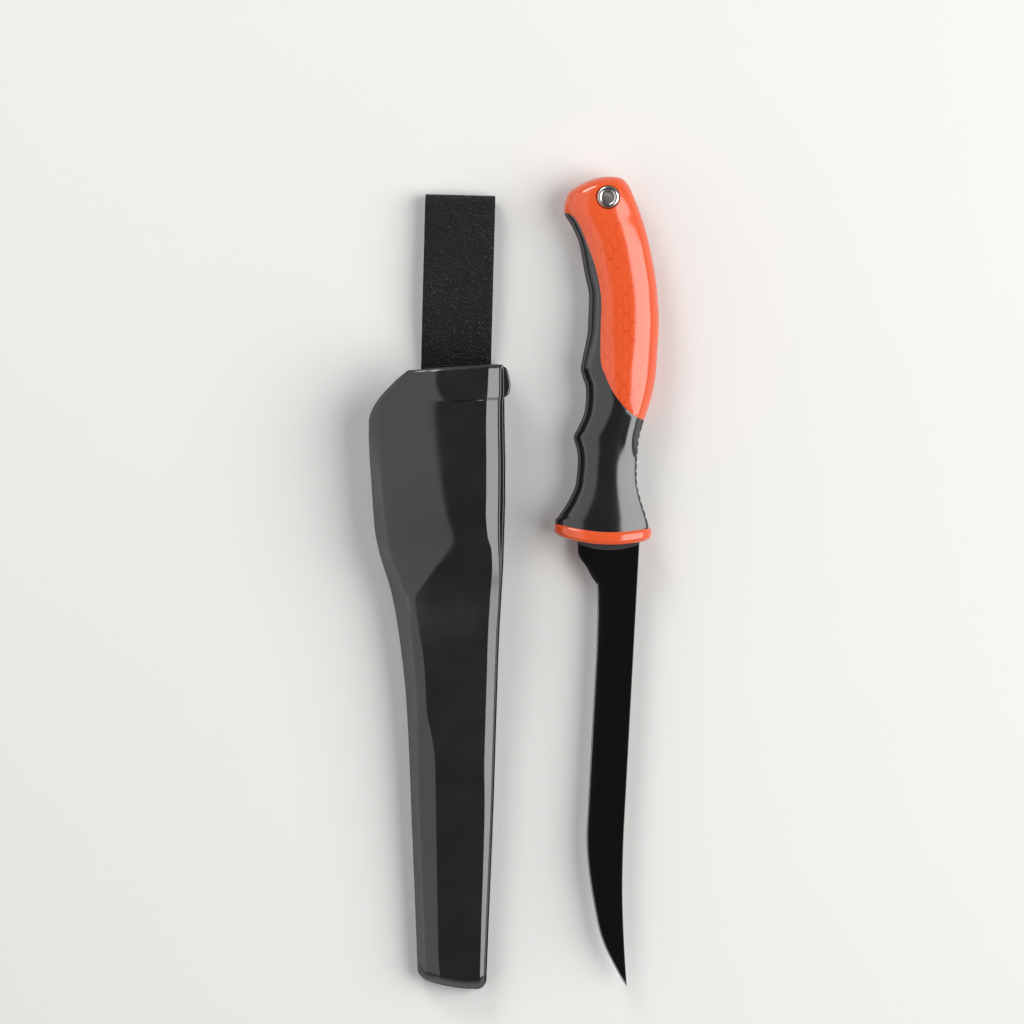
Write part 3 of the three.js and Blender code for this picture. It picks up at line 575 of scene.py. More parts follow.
def combine(piece, tool, operation):
    """Joins, cuts or overlaps a piece with a tool body, which is used up."""
    step = piece.modifiers.new("combine", "BOOLEAN")
    step.operation = operation
    step.solver = "MANIFOLD"
    step.object = tool
    bpy.context.view_layer.update()
    shaped = bpy.data.meshes.new_from_object(piece.evaluated_get(bpy.context.evaluated_depsgraph_get()))
    shaped.materials.clear()
    piece.modifiers.clear()
    piece.data = shaped
    bpy.data.objects.remove(tool)


def seamed_rings():
    """Rings of the whole handle, with a fine groove where the two shots meet."""
    rings, out = handle_rings(0, handle_places(), HANDLE_SIDES)
    groove = np.exp(-((seam_distance(rings[..., 0], rings[..., 1]) / SEAM_WIDTH) ** 2))
    return rings - out * (SEAM_DEPTH * groove)[..., None]


def inner_core(name, inset):
    rings, _ = handle_rings(inset, np.linspace(HANDLE_BASE - 1, CORE_TOP, 50), 64)
    return loft_piece(name, rings)


guard_rim = through((0, 0.9), (0.12, 0.965), (0.34, 1), (0.7, 1), (0.91, 0.975), (1, 0.94))


def guard_flange(name, grow):
    shares = np.linspace(0, 1, 22)
    sizes = list(guard_rim(shares))
    levels = [GUARD_HEIGHT * share for share in shares]
    inward = (0.12, 0.4, 0.7)
    sizes = [sizes[0] * s for s in inward] + sizes + [sizes[-1] * s for s in reversed(inward)]
    levels = [levels[0]] * len(inward) + levels + [levels[-1]] * len(inward)
    angle = np.linspace(0, 2 * math.pi, 144, endpoint=False)
    power = 2 / HANDLE_ROUNDNESS
    across, deep = signed_power(np.cos(angle), power), signed_power(np.sin(angle), power)
    rings = []
    for size, level in zip(sizes, levels):
        u = (GUARD_HALF_SPAN * size + grow) * across
        v = level + GUARD_DISH * (u / GUARD_HALF_SPAN) ** 2
        rings.append(np.stack((u + GUARD_CENTRE, v, (GUARD_HALF_THICKNESS * size + grow) * deep), 1))
    return loft_piece(name, np.array(rings))


def side_of_seam(name, far):
    """Everything on the panel's side of the seam for far = REACH, or on the grip's side for -REACH."""
    ends = [(REACH, shot_line[-1][1]), (REACH, far), (-REACH, far), (-REACH, shot_line[0][1])]
    return plan_piece(name, [tuple(p) for p in shot_line] + ends, -REACH, REACH, knife_place)


def make_handle_core():
    core = loft_piece("handle_core", seamed_rings())
    combine(core, side_of_seam("panel_side", REACH), "INTERSECT")
    combine(core, inner_core("hidden_core", GRIP_SKIN), "UNION")
    combine(core, guard_flange("guard", 0.0), "UNION")
    heel = BLADE_SPINE - BLADE_WIDTH - HEEL_DROP
    for name, left, right, low, high in (
        ("slot", heel - SLOT_PLAY, BLADE_SPINE + SLOT_PLAY, -4, BLADE_SEAT + TANG_PLAY),
        ("tang_hole", TANG_LEFT - TANG_PLAY, TANG_RIGHT + TANG_PLAY, 0, TANG_LENGTH + TANG_PLAY),
    ):
        room = box_piece(name, left, right, low, high, -SLOT_HALF, SLOT_HALF, knife_place)
        combine(core, room, "DIFFERENCE")
    for low, high, radius in (
        (-REACH, REACH, EYELET_HOLE_RADIUS),
        (EYELET_SEAT, REACH, EYELET_SEAT_RADIUS),
        (-REACH, -EYELET_SEAT, EYELET_SEAT_RADIUS),
    ):
        hole = round_piece("eyelet_hole", EYELET_SPOT, radius, low, high, knife_place)
        combine(core, hole, "DIFFERENCE")
    return core


def vector_calc(tree, operation, *values):
    return node(tree, "ShaderNodeVectorMath", dict(enumerate(values)), operation=operation).outputs[0]


def scale_net(tree, spots):
    """Mask of the thin lines between long six-sided scales, in columns that follow the bent panel."""
    half_wide, half_long = math.sqrt(3) / 2, 0.5
    above = calc(tree, "MAXIMUM", calc(tree, "SUBTRACT", parts(tree, spots)[1], SCALE_BEND_START), 0.0)
    lean = calc(tree, "MULTIPLY", calc(tree, "MULTIPLY", above, above), SCALE_BEND)
    aside = node(tree, "ShaderNodeCombineXYZ", {0: lean}).outputs[0]
    placed = vector_calc(tree, "ADD", vector_calc(tree, "ADD", spots, aside), SCALE_SHIFT)
    flat = stretch(tree, placed, (2 / math.sqrt(3) / SCALE_WIDTH, 1 / SCALE_LENGTH, 0.0))
    reaches = []
    for shift in ((0.0, 0.0, 0.5), (half_wide, half_long, 0.5)):
        moved = vector_calc(tree, "ADD", flat, shift)
        wrapped = vector_calc(tree, "WRAP", moved, (half_wide, half_long, 1.0), (-half_wide, -half_long, 0.0))
        folded = vector_calc(tree, "ABSOLUTE", stretch(tree, wrapped, (1.0, 1.0, 0.0)))
        slant = {0: folded, 1: (half_wide, half_long, 0.0)}
        slanted = node(tree, "ShaderNodeVectorMath", slant, operation="DOT_PRODUCT").outputs["Value"]
        reaches.append(calc(tree, "MAXIMUM", slanted, parts(tree, folded)[1]))
    return ramp(tree, calc(tree, "MINIMUM", *reaches), 0.39, 0.5)


def make_orange():
    """Glossy moulded plastic; the scale net is cut finely into the flat of the panel."""
    material, tree, shader = new_material("orange_plastic")
    spots = millimetres(tree, knife_place)
    skin = skin_of(tree, spots, 7.0, 0.11, 0.06)
    marks = use_effect(tree, handling_marks, {"Vector": spots, "Density": 0.6})
    place = parts(tree, spots)
    flat = ramp(tree, calc(tree, "ABSOLUTE", place[2]), 6.2, 8.2)
    length = calc(tree, "MULTIPLY", ramp(tree, place[1], 46.0, 56.0), ramp(tree, place[1], 124.0, 118.0))
    kept = calc(tree, "MULTIPLY", ramp(tree, noise(tree, spots, 0.16, 2.0), 0.36, 0.62, 0.25, 1.0), length)
    net = calc(tree, "MULTIPLY", scale_net(tree, spots), calc(tree, "MULTIPLY", flat, kept))
    tone = mix_colour(tree, calc(tree, "MULTIPLY", skin["Cloud"], 0.45), ORANGE, ORANGE_DEEP)
    gloss = calc(tree, "MULTIPLY_ADD", skin["Cloud"], 0.06, 0.11)
    cut = calc(tree, "SUBTRACT", calc(tree, "MULTIPLY", skin["Grain"], 0.06), net)
    feed(tree, shader, {
        "Base Color": mix_colour(tree, calc(tree, "MULTIPLY", net, 0.6), tone, ORANGE_LINE),
        "Roughness": calc(tree, "MULTIPLY_ADD", marks["Scuffs"], 0.15, gloss),
        "Normal": bump(tree, cut, 0.00001, bump(tree, skin["Wave"], 0.00005)),
        "IOR": 1.6,
    })
    return material


handle_core = make_handle_core()
handle_core.data.materials.append(make_orange())
smooth_below(handle_core, 35)
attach(handle_core, "knife")
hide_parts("handle_core")

# Grip
# The second shot: soft black rubber moulded over the core, with finger hollows on the belly and a row of
# thumb notches on the back, just behind the guard.
NOTCH_COUNT = 12
NOTCH_PITCH = 2.83
NOTCH_START = 11.0
NOTCH_DEPTH = 0.4
NOTCH_WIDTH = 0.5
RUBBER = (0.0075, 0.0075, 0.0088, 1.0)
RUBBER_PALE = (0.0135, 0.0135, 0.0152, 1.0)
DUST = (0.30, 0.30, 0.30, 1.0)


def make_grip():
    rings = seamed_rings()
    v = rings[..., 1]
    nearest = np.clip(np.round((v - NOTCH_START) / NOTCH_PITCH), 0, NOTCH_COUNT - 1)
    off = v - NOTCH_START - nearest * NOTCH_PITCH
    limit = handle_back(v) - NOTCH_DEPTH * np.exp(-((off / NOTCH_WIDTH) ** 2))
    rings[..., 0] = np.minimum(rings[..., 0], limit)
    grip = loft_piece("grip_overmould", rings)
    combine(grip, side_of_seam("grip_side", -REACH), "INTERSECT")
    combine(grip, inner_core("core_room", GRIP_SKIN - 0.05), "DIFFERENCE")
    combine(grip, guard_flange("guard_room", 0.05), "DIFFERENCE")
    return grip


def dark_material(name, place, dark, pale, rough, wave, density, ior):
    """A dark moulded surface: clouded, faintly wavy and grained, duller where it is seen at a flat angle."""
    material, tree, shader = new_material(name)
    spots = millimetres(tree, place)
    skin = skin_of(tree, spots, 6.0, 0.09, 0.05)
    marks = use_effect(tree, handling_marks, {"Vector": spots, "Density": density})
    tone = mix_colour(tree, skin["Cloud"], dark, pale)
    gloss = calc(tree, "MULTIPLY_ADD", skin["Cloud"], 0.1, rough)
    facing = node(tree, "ShaderNodeLayerWeight", {"Blend": 0.5}).outputs["Facing"]
    dull = calc(tree, "ADD", gloss, ramp(tree, facing, 0.4, 0.8, 0.0, 0.65))
    feed(tree, shader, {
        "Base Color": mix_colour(tree, calc(tree, "MULTIPLY", marks["Specks"], 0.5), tone, DUST),
        "Roughness": calc(tree, "MULTIPLY_ADD", marks["Scuffs"], 0.14, dull),
        "Normal": bump(tree, skin["Grain"], 0.000003, bump(tree, skin["Wave"], wave)),
        "IOR": ior,
    })
    return material


grip = make_grip()
soft_rubber = dark_material(
    "soft_black_rubber", knife_place, RUBBER, RUBBER_PALE, rough=0.1, wave=0.00004, density=0.4, ior=1.74
)
grip.data.materials.append(soft_rubber)
smooth_below(grip, 40)
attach(grip, "knife")
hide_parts("grip_overmould")

# Lanyard eyelet and its washer
# A plated hollow rivet through the butt: a domed flange in front, a plain tube, and its end rolled over a
# flat ring washer on the other side.
EYELET_BORE = 2.1
EYELET_TUBE = 2.7
EYELET_FLANGE = 4.3
EYELET_FLANGE_RISE = 0.9
EYELET_FRONT = 6.9
WASHER_TOP = -6.9
WASHER_FOOT = -7.5
ROLL_TOP = -7.8
ROLL_FOOT = -8.2
ROLL_RADIUS = 3.5
NICKEL = (0.66, 0.65, 0.63, 1.0)
NICKEL_DULL = (0.47, 0.46, 0.45, 1.0)


def turned_piece(name, profile, centre, place, sides=72):
    """A turned piece about the upright line through centre, from its closed section of (radius, height)."""
    rows = len(profile)
    turns = np.linspace(0, 2 * math.pi, sides, endpoint=False)
    points = [
        (centre[0] + radius * math.cos(t), centre[1] + radius * math.sin(t), height)
        for t in turns
        for radius, height in profile
    ]
    faces = []
    for s in range(sides):
        for r in range(rows):
            a, b = s * rows + r, s * rows + (r + 1) % rows
            c, d = ((s + 1) % sides) * rows + (r + 1) % rows, ((s + 1) % sides) * rows + r
            faces.append((a, b, c, d))
    return make_piece(name, points, faces, place)


def arc(centre, wide, high, start, end, steps):
    turns = np.radians(np.linspace(start, end, steps))
    return [(centre[0] + wide * math.cos(t), centre[1] + high * math.sin(t)) for t in turns]


def make_eyelet():
    crown = (EYELET_BORE + EYELET_FLANGE) / 2
    profile = arc((crown, EYELET_FRONT), EYELET_FLANGE - crown, EYELET_FLANGE_RISE, 0, 180, 19)
    profile += [(EYELET_BORE, EYELET_FRONT * share) for share in (0.5, 0, -0.5)]
    rolled = (EYELET_BORE + ROLL_RADIUS) / 2
    profile += arc((rolled, ROLL_TOP), ROLL_RADIUS - rolled, ROLL_TOP - ROLL_FOOT, 180, 360, 13)
    profile += [(EYELET_TUBE, ROLL_TOP), (EYELET_TUBE, 0.0), (EYELET_TUBE, EYELET_FRONT)]
    return turned_piece("lanyard_eyelet", profile, EYELET_SPOT, knife_place)


def ring_profile(inner, outer, foot, top, edge):
    return [
        (inner, foot + edge), (inner + edge, foot), (outer - edge, foot), (outer, foot + edge),
        (outer, top - edge), (outer - edge, top), (inner + edge, top), (inner, top - edge),
    ]


def plated_material(name, place, bright, dull, rough):
    """Plated metal with a slightly uneven sheen and fine scuffs."""
    material, tree, shader = new_material(name)
    spots = millimetres(tree, place)
    skin = skin_of(tree, spots, 10.0, 0.6, 0.7)
    marks = use_effect(tree, handling_marks, {"Vector": spots, "Density": 1.0})
    gloss = calc(tree, "MULTIPLY_ADD", skin["Cloud"], 0.14, rough)
    feed(tree, shader, {
        "Base Color": mix_colour(tree, skin["Cloud"], bright, dull),
        "Roughness": calc(tree, "MULTIPLY_ADD", marks["Scuffs"], 0.2, gloss),
        "Normal": bump(tree, skin["Grain"], 0.000002),
        "Metallic": 1.0,
    })
    return material


nickel = plated_material("nickel_plate", knife_place, NICKEL, NICKEL_DULL, 0.12)
eyelet = make_eyelet()
washer_section = ring_profile(EYELET_TUBE + 0.2, EYELET_FLANGE, WASHER_FOOT, WASHER_TOP, 0.12)
eyelet_washer = turned_piece("eyelet_washer", washer_section, EYELET_SPOT, knife_place)
for piece in (eyelet, eyelet_washer):
    piece.data.materials.append(nickel)
    smooth_below(piece, 40)
    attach(piece, "knife")
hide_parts("lanyard_eyelet")
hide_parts("eyelet_washer")

# Sheath front shell
# The front half of a hollow plastic sheath: a domed pocket for the guard and the front of the handle, a step
# down to the narrow blade section, a bevel along each side and a thickened collar under the slanting mouth.
# Sizes are from the sheath's centre line, level with the guard of the sheathed knife.
RIVET_HALF_SPACING = 7.0
RIVET_PLACE = 55.0
SHEATH_END = -164.5
SHEATH_RIGHT = 19.1
THROAT_LEFT = -21.8
SHEATH_WALL = 1.7
SIDE_WALL = 1.5
SEAM_AT_END = 6.0
SEAM_SLOPE = 0.04556
SEAM_GAP = 0.3
BACK_RIM = 0.5
POCKET_HEIGHT = 12.5
BEVEL_FALL = 0.6
FLANGE_RISE = 1.6
WALL_LEAN = 0.3
COLLAR_RISE = 0.6
COLLAR_SIDE = 0.45
COLLAR_PLACE = 53.0
COLLAR_SLANT = 0.09
COLLAR_LEFT = -9.5
COLLAR_CORNER = 8.5
COLLAR_GROOVE = 0.7
GROOVE_WIDTH = 0.26
COLLAR_SOFT = 1.5
COLLAR_CRISP = 0.3
COLLAR_SWELL = 3.5
MOUTH_RIGHT = 67.4
MOUTH_LEFT = 64.0
MOUTH_CORNER = -17.6
SLANT_FOOT = 45.4
LIP_ROUND = 2.0
MOUTH_TOP = 70.4
FRONT_END_BEVEL = 3.9
FRONT_END_SHAPE = 1.4
PLASTIC = (0.0060, 0.0060, 0.0072, 1.0)
PLASTIC_PALE = (0.0180, 0.0180, 0.0200, 1.0)

rivet_spots = []
for side in ("left", "right"):
    rivet_low, rivet_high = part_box(f"loop_rivet_{side}")
    rivet_spots.append((rivet_low + rivet_high) / 2)
rivet_middle = (rivet_spots[0] + rivet_spots[1]) / 2
rivet_middle.z = cad_box[0].z
rivet_row = rivet_spots[1] - rivet_spots[0]
sheath_place = (
    Matrix.Translation(rivet_middle)
    @ Matrix.Rotation(math.atan2(rivet_row.y, rivet_row.x), 4, "Z")
    @ Matrix.Scale(MILLIMETRE, 4)
    @ Matrix.Translation((0.0, -RIVET_PLACE, 0.0))
)


def from_end(distance):
    return SHEATH_END + distance


def seam(v):
    return SEAM_AT_END + (v - SHEATH_END) * SEAM_SLOPE


sheath_left = through(
    (from_end(0), -8), (from_end(10.5), -8.6), (from_end(58.5), -11.7), (from_end(106.7), THROAT_LEFT + 6.7),
    (-28.3, THROAT_LEFT + 2.5), (-17.2, THROAT_LEFT), (-2.5, THROAT_LEFT - 4.8), (4.8, THROAT_LEFT - 6.4),
    (19.6, THROAT_LEFT - 7.9), (41.7, THROAT_LEFT - 9.6), (MOUTH_TOP, THROAT_LEFT - 10),
)
sheath_side = through(
    (from_end(0), SHEATH_RIGHT - 2.4), (from_end(26), SHEATH_RIGHT - 2), (from_end(70), SHEATH_RIGHT - 1.36),
    (-53, SHEATH_RIGHT - 1.12), (-35, SHEATH_RIGHT - 0.95), (-20, SHEATH_RIGHT - 0.53),
    (-5, SHEATH_RIGHT - 0.1), (13, SHEATH_RIGHT), (28, SHEATH_RIGHT - 0.27), (43, SHEATH_RIGHT - 0.88),
    (MOUTH_TOP, SHEATH_RIGHT - 1.9),
)
side_draft = through(
    (from_end(0), 0.45), (from_end(70), 0.45), (-35, 0.5), (-20, 0.4), (-9, 0.75), (-1, 1.45), (4, 1.75),
    (13, 2), (43, 1.9), (MOUTH_TOP, 1.6),
)
ridge_line = through(
    (from_end(0), 0.8), (from_end(10.5), -0.7), (from_end(40.5), -2), (from_end(73.5), -3.3), (-80, -3.8),
    (-69, -5.7), (-63, -7.3), (-43, -9.2), (-27, -12.4), (-19.2, -13.9), (-17.6, -12.9), (-9.6, -6.8),
    (-2.9, -0.9), (2.3, 2.3), (9.5, 0.2), (21, -2.7), (50, -7.4), (MOUTH_TOP, -9),
)
ridge_height = through(
    (from_end(0), 5.0), (-32, 6.3), (-27, 6.6), (-22, 7.2), (-18.5, 7.7), (-14, 8.9), (-4, 11.2), (1, 12.25),
    (4, POCKET_HEIGHT), (MOUTH_TOP, POCKET_HEIGHT),
)
right_height = through(
    (from_end(0), 5.0), (-75, 5.93), (-58, 6.55), (-44, 7.6), (-30, 8.95), (-16, 10.4), (-6, 11.65),
    (0, 12.3), (4, POCKET_HEIGHT), (MOUTH_TOP, POCKET_HEIGHT),
)
band_height = through(
    (from_end(0), 3.0), (from_end(14), 3.3), (-106, 4.0), (-40, 4.75), (-30, 5.1), (-22, 5.6), (-14, 6.3),
    (-4, 7.7), (2, 8.4), (6, 8.6), (20, 8.2), (45, 7.7), (MOUTH_TOP, 7.5),
)
wall_height = through(
    (from_end(0), 0.9), (from_end(14), 1.0), (-106, 1.5), (-40, 1.8), (-22, 2.2), (0, 5.0), (MOUTH_TOP, 5.2)
)
band_width = through(
    (from_end(0), 3.0), (from_end(40.5), 3.35), (from_end(73.5), 3.4), (-65, 3.75), (-43, 4.4), (-21, 4.5),
    (0, 4.9), (MOUTH_TOP, 4.6),
)
bevel_width = through(
    (from_end(0), 1.3), (from_end(26), 1.7), (from_end(55.5), 2.0), (from_end(70), 2.3),
    (from_end(85.5), 2.9), (-50, 2.95), (-20, 3.2), (-9, 2.7), (-2, 2.5), (4, 3.8), (13, 4.4), (43, 4.35),
    (MOUTH_TOP, 3.7),
)
ridge_round = through((from_end(0), 2), (-40, 3), (-22, 6), (0, 30), (MOUTH_TOP, 36))


def rounded(corners, rounds, steps=9, between=3, most=0.46):
    """Lines of (u, z) points through rounded corners, one line for each place along the sheath."""
    corners = [np.stack(corner, 1) for corner in corners]
    line = []
    last = corners[0]
    for i in range(1, len(corners) - 1):
        here = corners[i]
        back, ahead = corners[i - 1] - here, corners[i + 1] - here
        back_length = np.linalg.norm(back, axis=1, keepdims=True)
        ahead_length = np.linalg.norm(ahead, axis=1, keepdims=True)
        back, ahead = back / back_length, ahead / ahead_length
        opening = np.arccos(np.clip((back * ahead).sum(1, keepdims=True), -1, 1))
        cut = np.reshape(rounds[i - 1], (-1, 1)) / np.tan(opening / 2)
        cut = np.minimum(cut, most * np.minimum(back_length, ahead_length))
        start, end = here + back * cut, here + ahead * cut
        line += [last + (start - last) * t for t in np.linspace(0, 1, between, endpoint=False)]
        for t in np.linspace(0, 1, steps):
            line.append(start * (1 - t) ** 2 + here * 2 * t * (1 - t) + end * t * t)
        last = end
        line.pop()
    final = corners[-1]
    line += [last + (final - last) * t for t in np.linspace(0, 1, between + 1)]
    return np.stack(line, 1)


def soft_step(distance, width):
    return 0.5 + 0.5 * np.tanh(distance / width)


def add_collar(line, v, shoulder, bevel):
    """Thickens a section under the mouth: a pad with a rounded left corner and a fine groove below it."""
    u = line[..., 0]
    past = v - COLLAR_PLACE - COLLAR_SLANT * u
    beside = u - COLLAR_LEFT
    to_foot = np.maximum(COLLAR_CORNER - past, 0)
    to_side = np.maximum(COLLAR_CORNER - beside, 0)
    in_corner = (past < COLLAR_CORNER) & (beside < COLLAR_CORNER)
    within = np.where(in_corner, COLLAR_CORNER - np.hypot(to_foot, to_side), np.minimum(past, beside))
    from_bevel = shoulder - bevel - u
    on_face = np.clip(from_bevel / 0.8, 0, 1)
    straight = np.clip((u - COLLAR_LEFT - 4) / 5, 0, 1) * on_face
    soft = soft_step(within, COLLAR_SOFT)
    pad = soft + (soft_step(past, COLLAR_CRISP) - soft) * straight
    swell = soft_step(past, COLLAR_SWELL)
    inside = np.clip((shoulder + WALL_LEAN - u) / WALL_LEAN, 0, 1)
    groove = COLLAR_GROOVE * np.exp(-((past / GROOVE_WIDTH) ** 2)) * np.clip(from_bevel / 2.5, 0, 1)
    line[..., 1] += inside * (COLLAR_RISE * (swell + (pad - swell) * on_face) - groove * straight)
    line[..., 0] += COLLAR_SIDE * soft_step(past, 0.9) * np.clip((u - 9) / 3, 0, 1)


def front_outer(v):
    left, right, low = sheath_left(v), sheath_side(v), seam(v) + SEAM_GAP / 2
    shoulder, bevel = right - side_draft(v), bevel_width(v)
    face = seam(v) + right_height(v)
    brow = face - bevel * BEVEL_FALL
    rim = seam(v) + FLANGE_RISE
    corners = [
        (left, low), (left, seam(v) + wall_height(v)), (left + band_width(v), seam(v) + band_height(v)),
        (ridge_line(v), seam(v) + ridge_height(v)), (shoulder - bevel, face), (shoulder, brow),
        (shoulder + WALL_LEAN, rim), (right, rim), (right, low),
    ]
    line = rounded(corners, (1.0, 9.0, ridge_round(v), 0.8, 0.4, 0.5, 0.35))
    add_collar(line, v[:, None], shoulder[:, None], bevel[:, None])
    return line


def front_inner(v):
    left, right, low = sheath_left(v) + SHEATH_WALL, sheath_side(v) - SIDE_WALL, seam(v) + SEAM_GAP / 2
    shoulder, bevel = right - side_draft(v), bevel_width(v)
    skin = SHEATH_WALL * math.hypot(1, BEVEL_FALL)
    face = seam(v) + right_height(v)
    side = np.maximum(face - BEVEL_FALL * (bevel - SIDE_WALL) - skin, low + 0.2)
    corners = [
        (left, low), (left, np.maximum(seam(v) + wall_height(v) - 0.6, low + 0.1)),
        (left - SHEATH_WALL + band_width(v) + 0.3, seam(v) + band_height(v) - skin),
        (ridge_line(v), seam(v) + ridge_height(v) - SHEATH_WALL),
        (shoulder + SIDE_WALL - bevel - 0.6, face - SHEATH_WALL), (shoulder, side),
        (shoulder + WALL_LEAN / 3, side + (low - side) / 3),
        (shoulder + WALL_LEAN * 2 / 3, side + (low - side) * 2 / 3),
        (shoulder + WALL_LEAN, low),
    ]
    return rounded(corners, (1.0, 8.0, ridge_round(v), 0.8, 0.8, 0.3, 0.3))


def bezier(points, steps):
    """A plain curve of two, three or four control points in plan."""
    rows = [np.array(points, float)] * steps
    curve = []
    for row, t in zip(rows, np.linspace(0, 1, steps)):
        while len(row) > 1:
            row = row[:-1] * (1 - t) + row[1:] * t
        curve.append(row[0])
    return curve


def mouth_line():
    """The mouth's edge in plan: a slanting corner on the left, then nearly straight across."""
    side = float(sheath_left(SLANT_FOOT))
    slant = bezier(
        (
            (side - 0.2, SLANT_FOOT),
            (side, SLANT_FOOT + 5.1),
            (MOUTH_CORNER - 5.9, MOUTH_LEFT - 4.5),
            (MOUTH_CORNER, MOUTH_LEFT),
        ),
        40,
    )
    across = (MOUTH_RIGHT - MOUTH_LEFT) / (SHEATH_RIGHT - MOUTH_CORNER)
    far = SHEATH_RIGHT + 8
    return np.array(slant + [np.array((far, MOUTH_RIGHT + 8 * across))])


def end_line(inset):
    """The rounded point end in plan, drawn in by inset."""
    end = SHEATH_END + inset
    left = float(sheath_left(from_end(8))) + inset
    right = float(sheath_side(from_end(4.5))) + BACK_RIM - inset
    corner = bezier(
        ((left - 0.3, end + 8), (left + 0.3, end + 4.6), (left + 2, end + 3.2), (left + 5.6, end + 2.2)), 30
    )
    run = bezier(((left + 5.6, end + 2.2), (left + 10, end + 0.95), (left + 15.5, end), (right - 4, end)), 30)
    other = bezier(((right - 4, end), (right - 0.3, end), (right + 0.2, end + 4.5)), 20)
    return np.array(corner + run[1:] + other[1:])


def column_places(section, line, low, high):
    """Where each lengthwise line of a shell meets an edge drawn in plan."""
    count = section(np.zeros(1)).shape[1]
    below, above = np.full(count, low), np.full(count, high)
    pick = np.arange(count)
    for _ in range(40):
        middle = (below + above) / 2
        u = section(middle)[pick, pick, 0]
        inside = middle < np.interp(u, line[:, 0], line[:, 1])
        below, above = np.where(inside, middle, below), np.where(inside, above, middle)
    return below


def shell_places():
    """Steps along the sheath, close together where the step and the collar are."""
    return np.concatenate((
        np.arange(SHEATH_END, -48, 1.5), np.arange(-48, 10, 0.7), np.arange(10, 51, 1.1),
        np.arange(51, 54, 0.5), np.arange(54, 58, 0.08), np.linspace(58, MOUTH_RIGHT, 14),
    ))


def shell_grid(section, inset, end_round, seam_height, squareness):
    """Points of one face of a shell, from its end on the seam plane up to the mouth."""
    top = column_places(section, mouth_line(), 30.0, 69.0) - LIP_ROUND
    foot = column_places(section, end_line(inset), SHEATH_END - 1, SHEATH_END + 24)
    base = shell_places()[:, None]
    near, mid = SHEATH_END + 28, 30.0
    start = foot + end_round
    low = start + (base - SHEATH_END) / (near - SHEATH_END) * (near - start)
    high = mid + (base - mid) / (MOUTH_RIGHT - mid) * (top - mid)
    v = np.where(base < near, low, np.where(base > mid, high, base + 0 * top))
    turns = np.linspace(0, math.pi / 2, 10)[:-1, None]
    v = np.concatenate((foot + end_round * (1 - np.cos(turns) ** squareness), v))
    lift = np.concatenate((np.sin(turns[:, 0]) ** squareness, np.ones(len(base))))
    grid = np.empty(v.shape + (3,))
    for c in range(v.shape[1]):
        spot = section(v[:, c])[:, c]
        level = seam_height(v[:, c])
        grid[:, c] = np.stack((spot[:, 0], v[:, c], level + (spot[:, 1] - level) * lift), 1)
    return grid


def make_shell(name, outer, inner):
    """A closed shell from its outer and inner face, with a rounded lip along the mouth."""
    rows, columns = outer.shape[:2]
    middle, spread = (outer[-1] + inner[-1]) / 2, (outer[-1] - inner[-1]) / 2
    lip = []
    for turn in np.radians(np.linspace(0, 180, 9))[1:-1]:
        lip.append(middle + spread * math.cos(turn) + np.array((0, LIP_ROUND * math.sin(turn), 0)))
    points = np.concatenate((outer.reshape(-1, 3), inner.reshape(-1, 3), np.array(lip).reshape(-1, 3)))
    out = np.arange(rows * columns).reshape(rows, columns)
    inn = out + rows * columns
    lips = np.arange(len(lip) * columns).reshape(-1, columns) + 2 * rows * columns
    edge = np.concatenate((out[-1:], lips, inn[-1:]))
    faces = []
    for sheet, flip in ((out, False), (inn, True), (edge, False)):
        for r in range(len(sheet) - 1):
            for c in range(columns - 1):
                quad = (sheet[r, c], sheet[r, c + 1], sheet[r + 1, c + 1], sheet[r + 1, c])
                faces.append(quad[::-1] if flip else quad)
    around = [np.concatenate((s[::-1, 0], s[0, 1:], s[1:, -1])) for s in (out, inn)]
    for i in range(len(around[0]) - 1):
        faces.append((around[0][i], around[0][i + 1], around[1][i + 1], around[1][i]))
    faces.append(tuple(edge[:, 0]))
    faces.append(tuple(edge[::-1, -1]))
    return make_piece(name, points, [tuple(int(i) for i in face) for face in faces], sheath_place)


def front_seam(v):
    return seam(v) + SEAM_GAP / 2


sheath_front = make_shell(
    "sheath_front",
    shell_grid(front_outer, 0.0, FRONT_END_BEVEL, front_seam, FRONT_END_SHAPE),
    shell_grid(front_inner, SHEATH_WALL, FRONT_END_BEVEL, front_seam, FRONT_END_SHAPE),
)
sheath_plastic = dark_material(
    "black_sheath_plastic", sheath_place, PLASTIC, PLASTIC_PALE,
    rough=0.13, wave=0.00006, density=0.35, ior=1.68,
)
sheath_front.data.materials.append(sheath_plastic)
smooth_below(sheath_front, 38)
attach(sheath_front, "sheath")
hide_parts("sheath_front")

# Sheath back shell
# The flat back half, which meets the front on a sloping seam and stands a little proud of it on the right.
# It carries the thumb tab beside the mouth and a recess for the riveted ends of the belt strap.
BACK_CHAMFER = 2.5
BACK_ROUND = 1.8
BACK_END_ROUND = 1.2
BACK_END_INNER = 1.0
BACK_END_SHAPE = 0.7
CAVITY_CORNER = 1.2
CAVITY_ROUND = 0.8
STRAP_HALF_SEAT = 13.3
STRAP_SEAT_FOOT = 45.7
STRAP_SEAT_DEPTH = 3.4
STRAP_NOTCH = 64.0
PAD_FOOT = 0.85
PAD_TOP = 4.9
CUT_FOOT = -1.0
RIVET_HOLE = 1.8
TAB_REACH = 3.0
TAB_FOOT = 54.3
TAB_HEIGHT = 12.9
TAB_THICKNESS = 6.0
TAB_EDGE = 0.6
TAB_ROOT = 2.5
TAB_DROP = 0.5


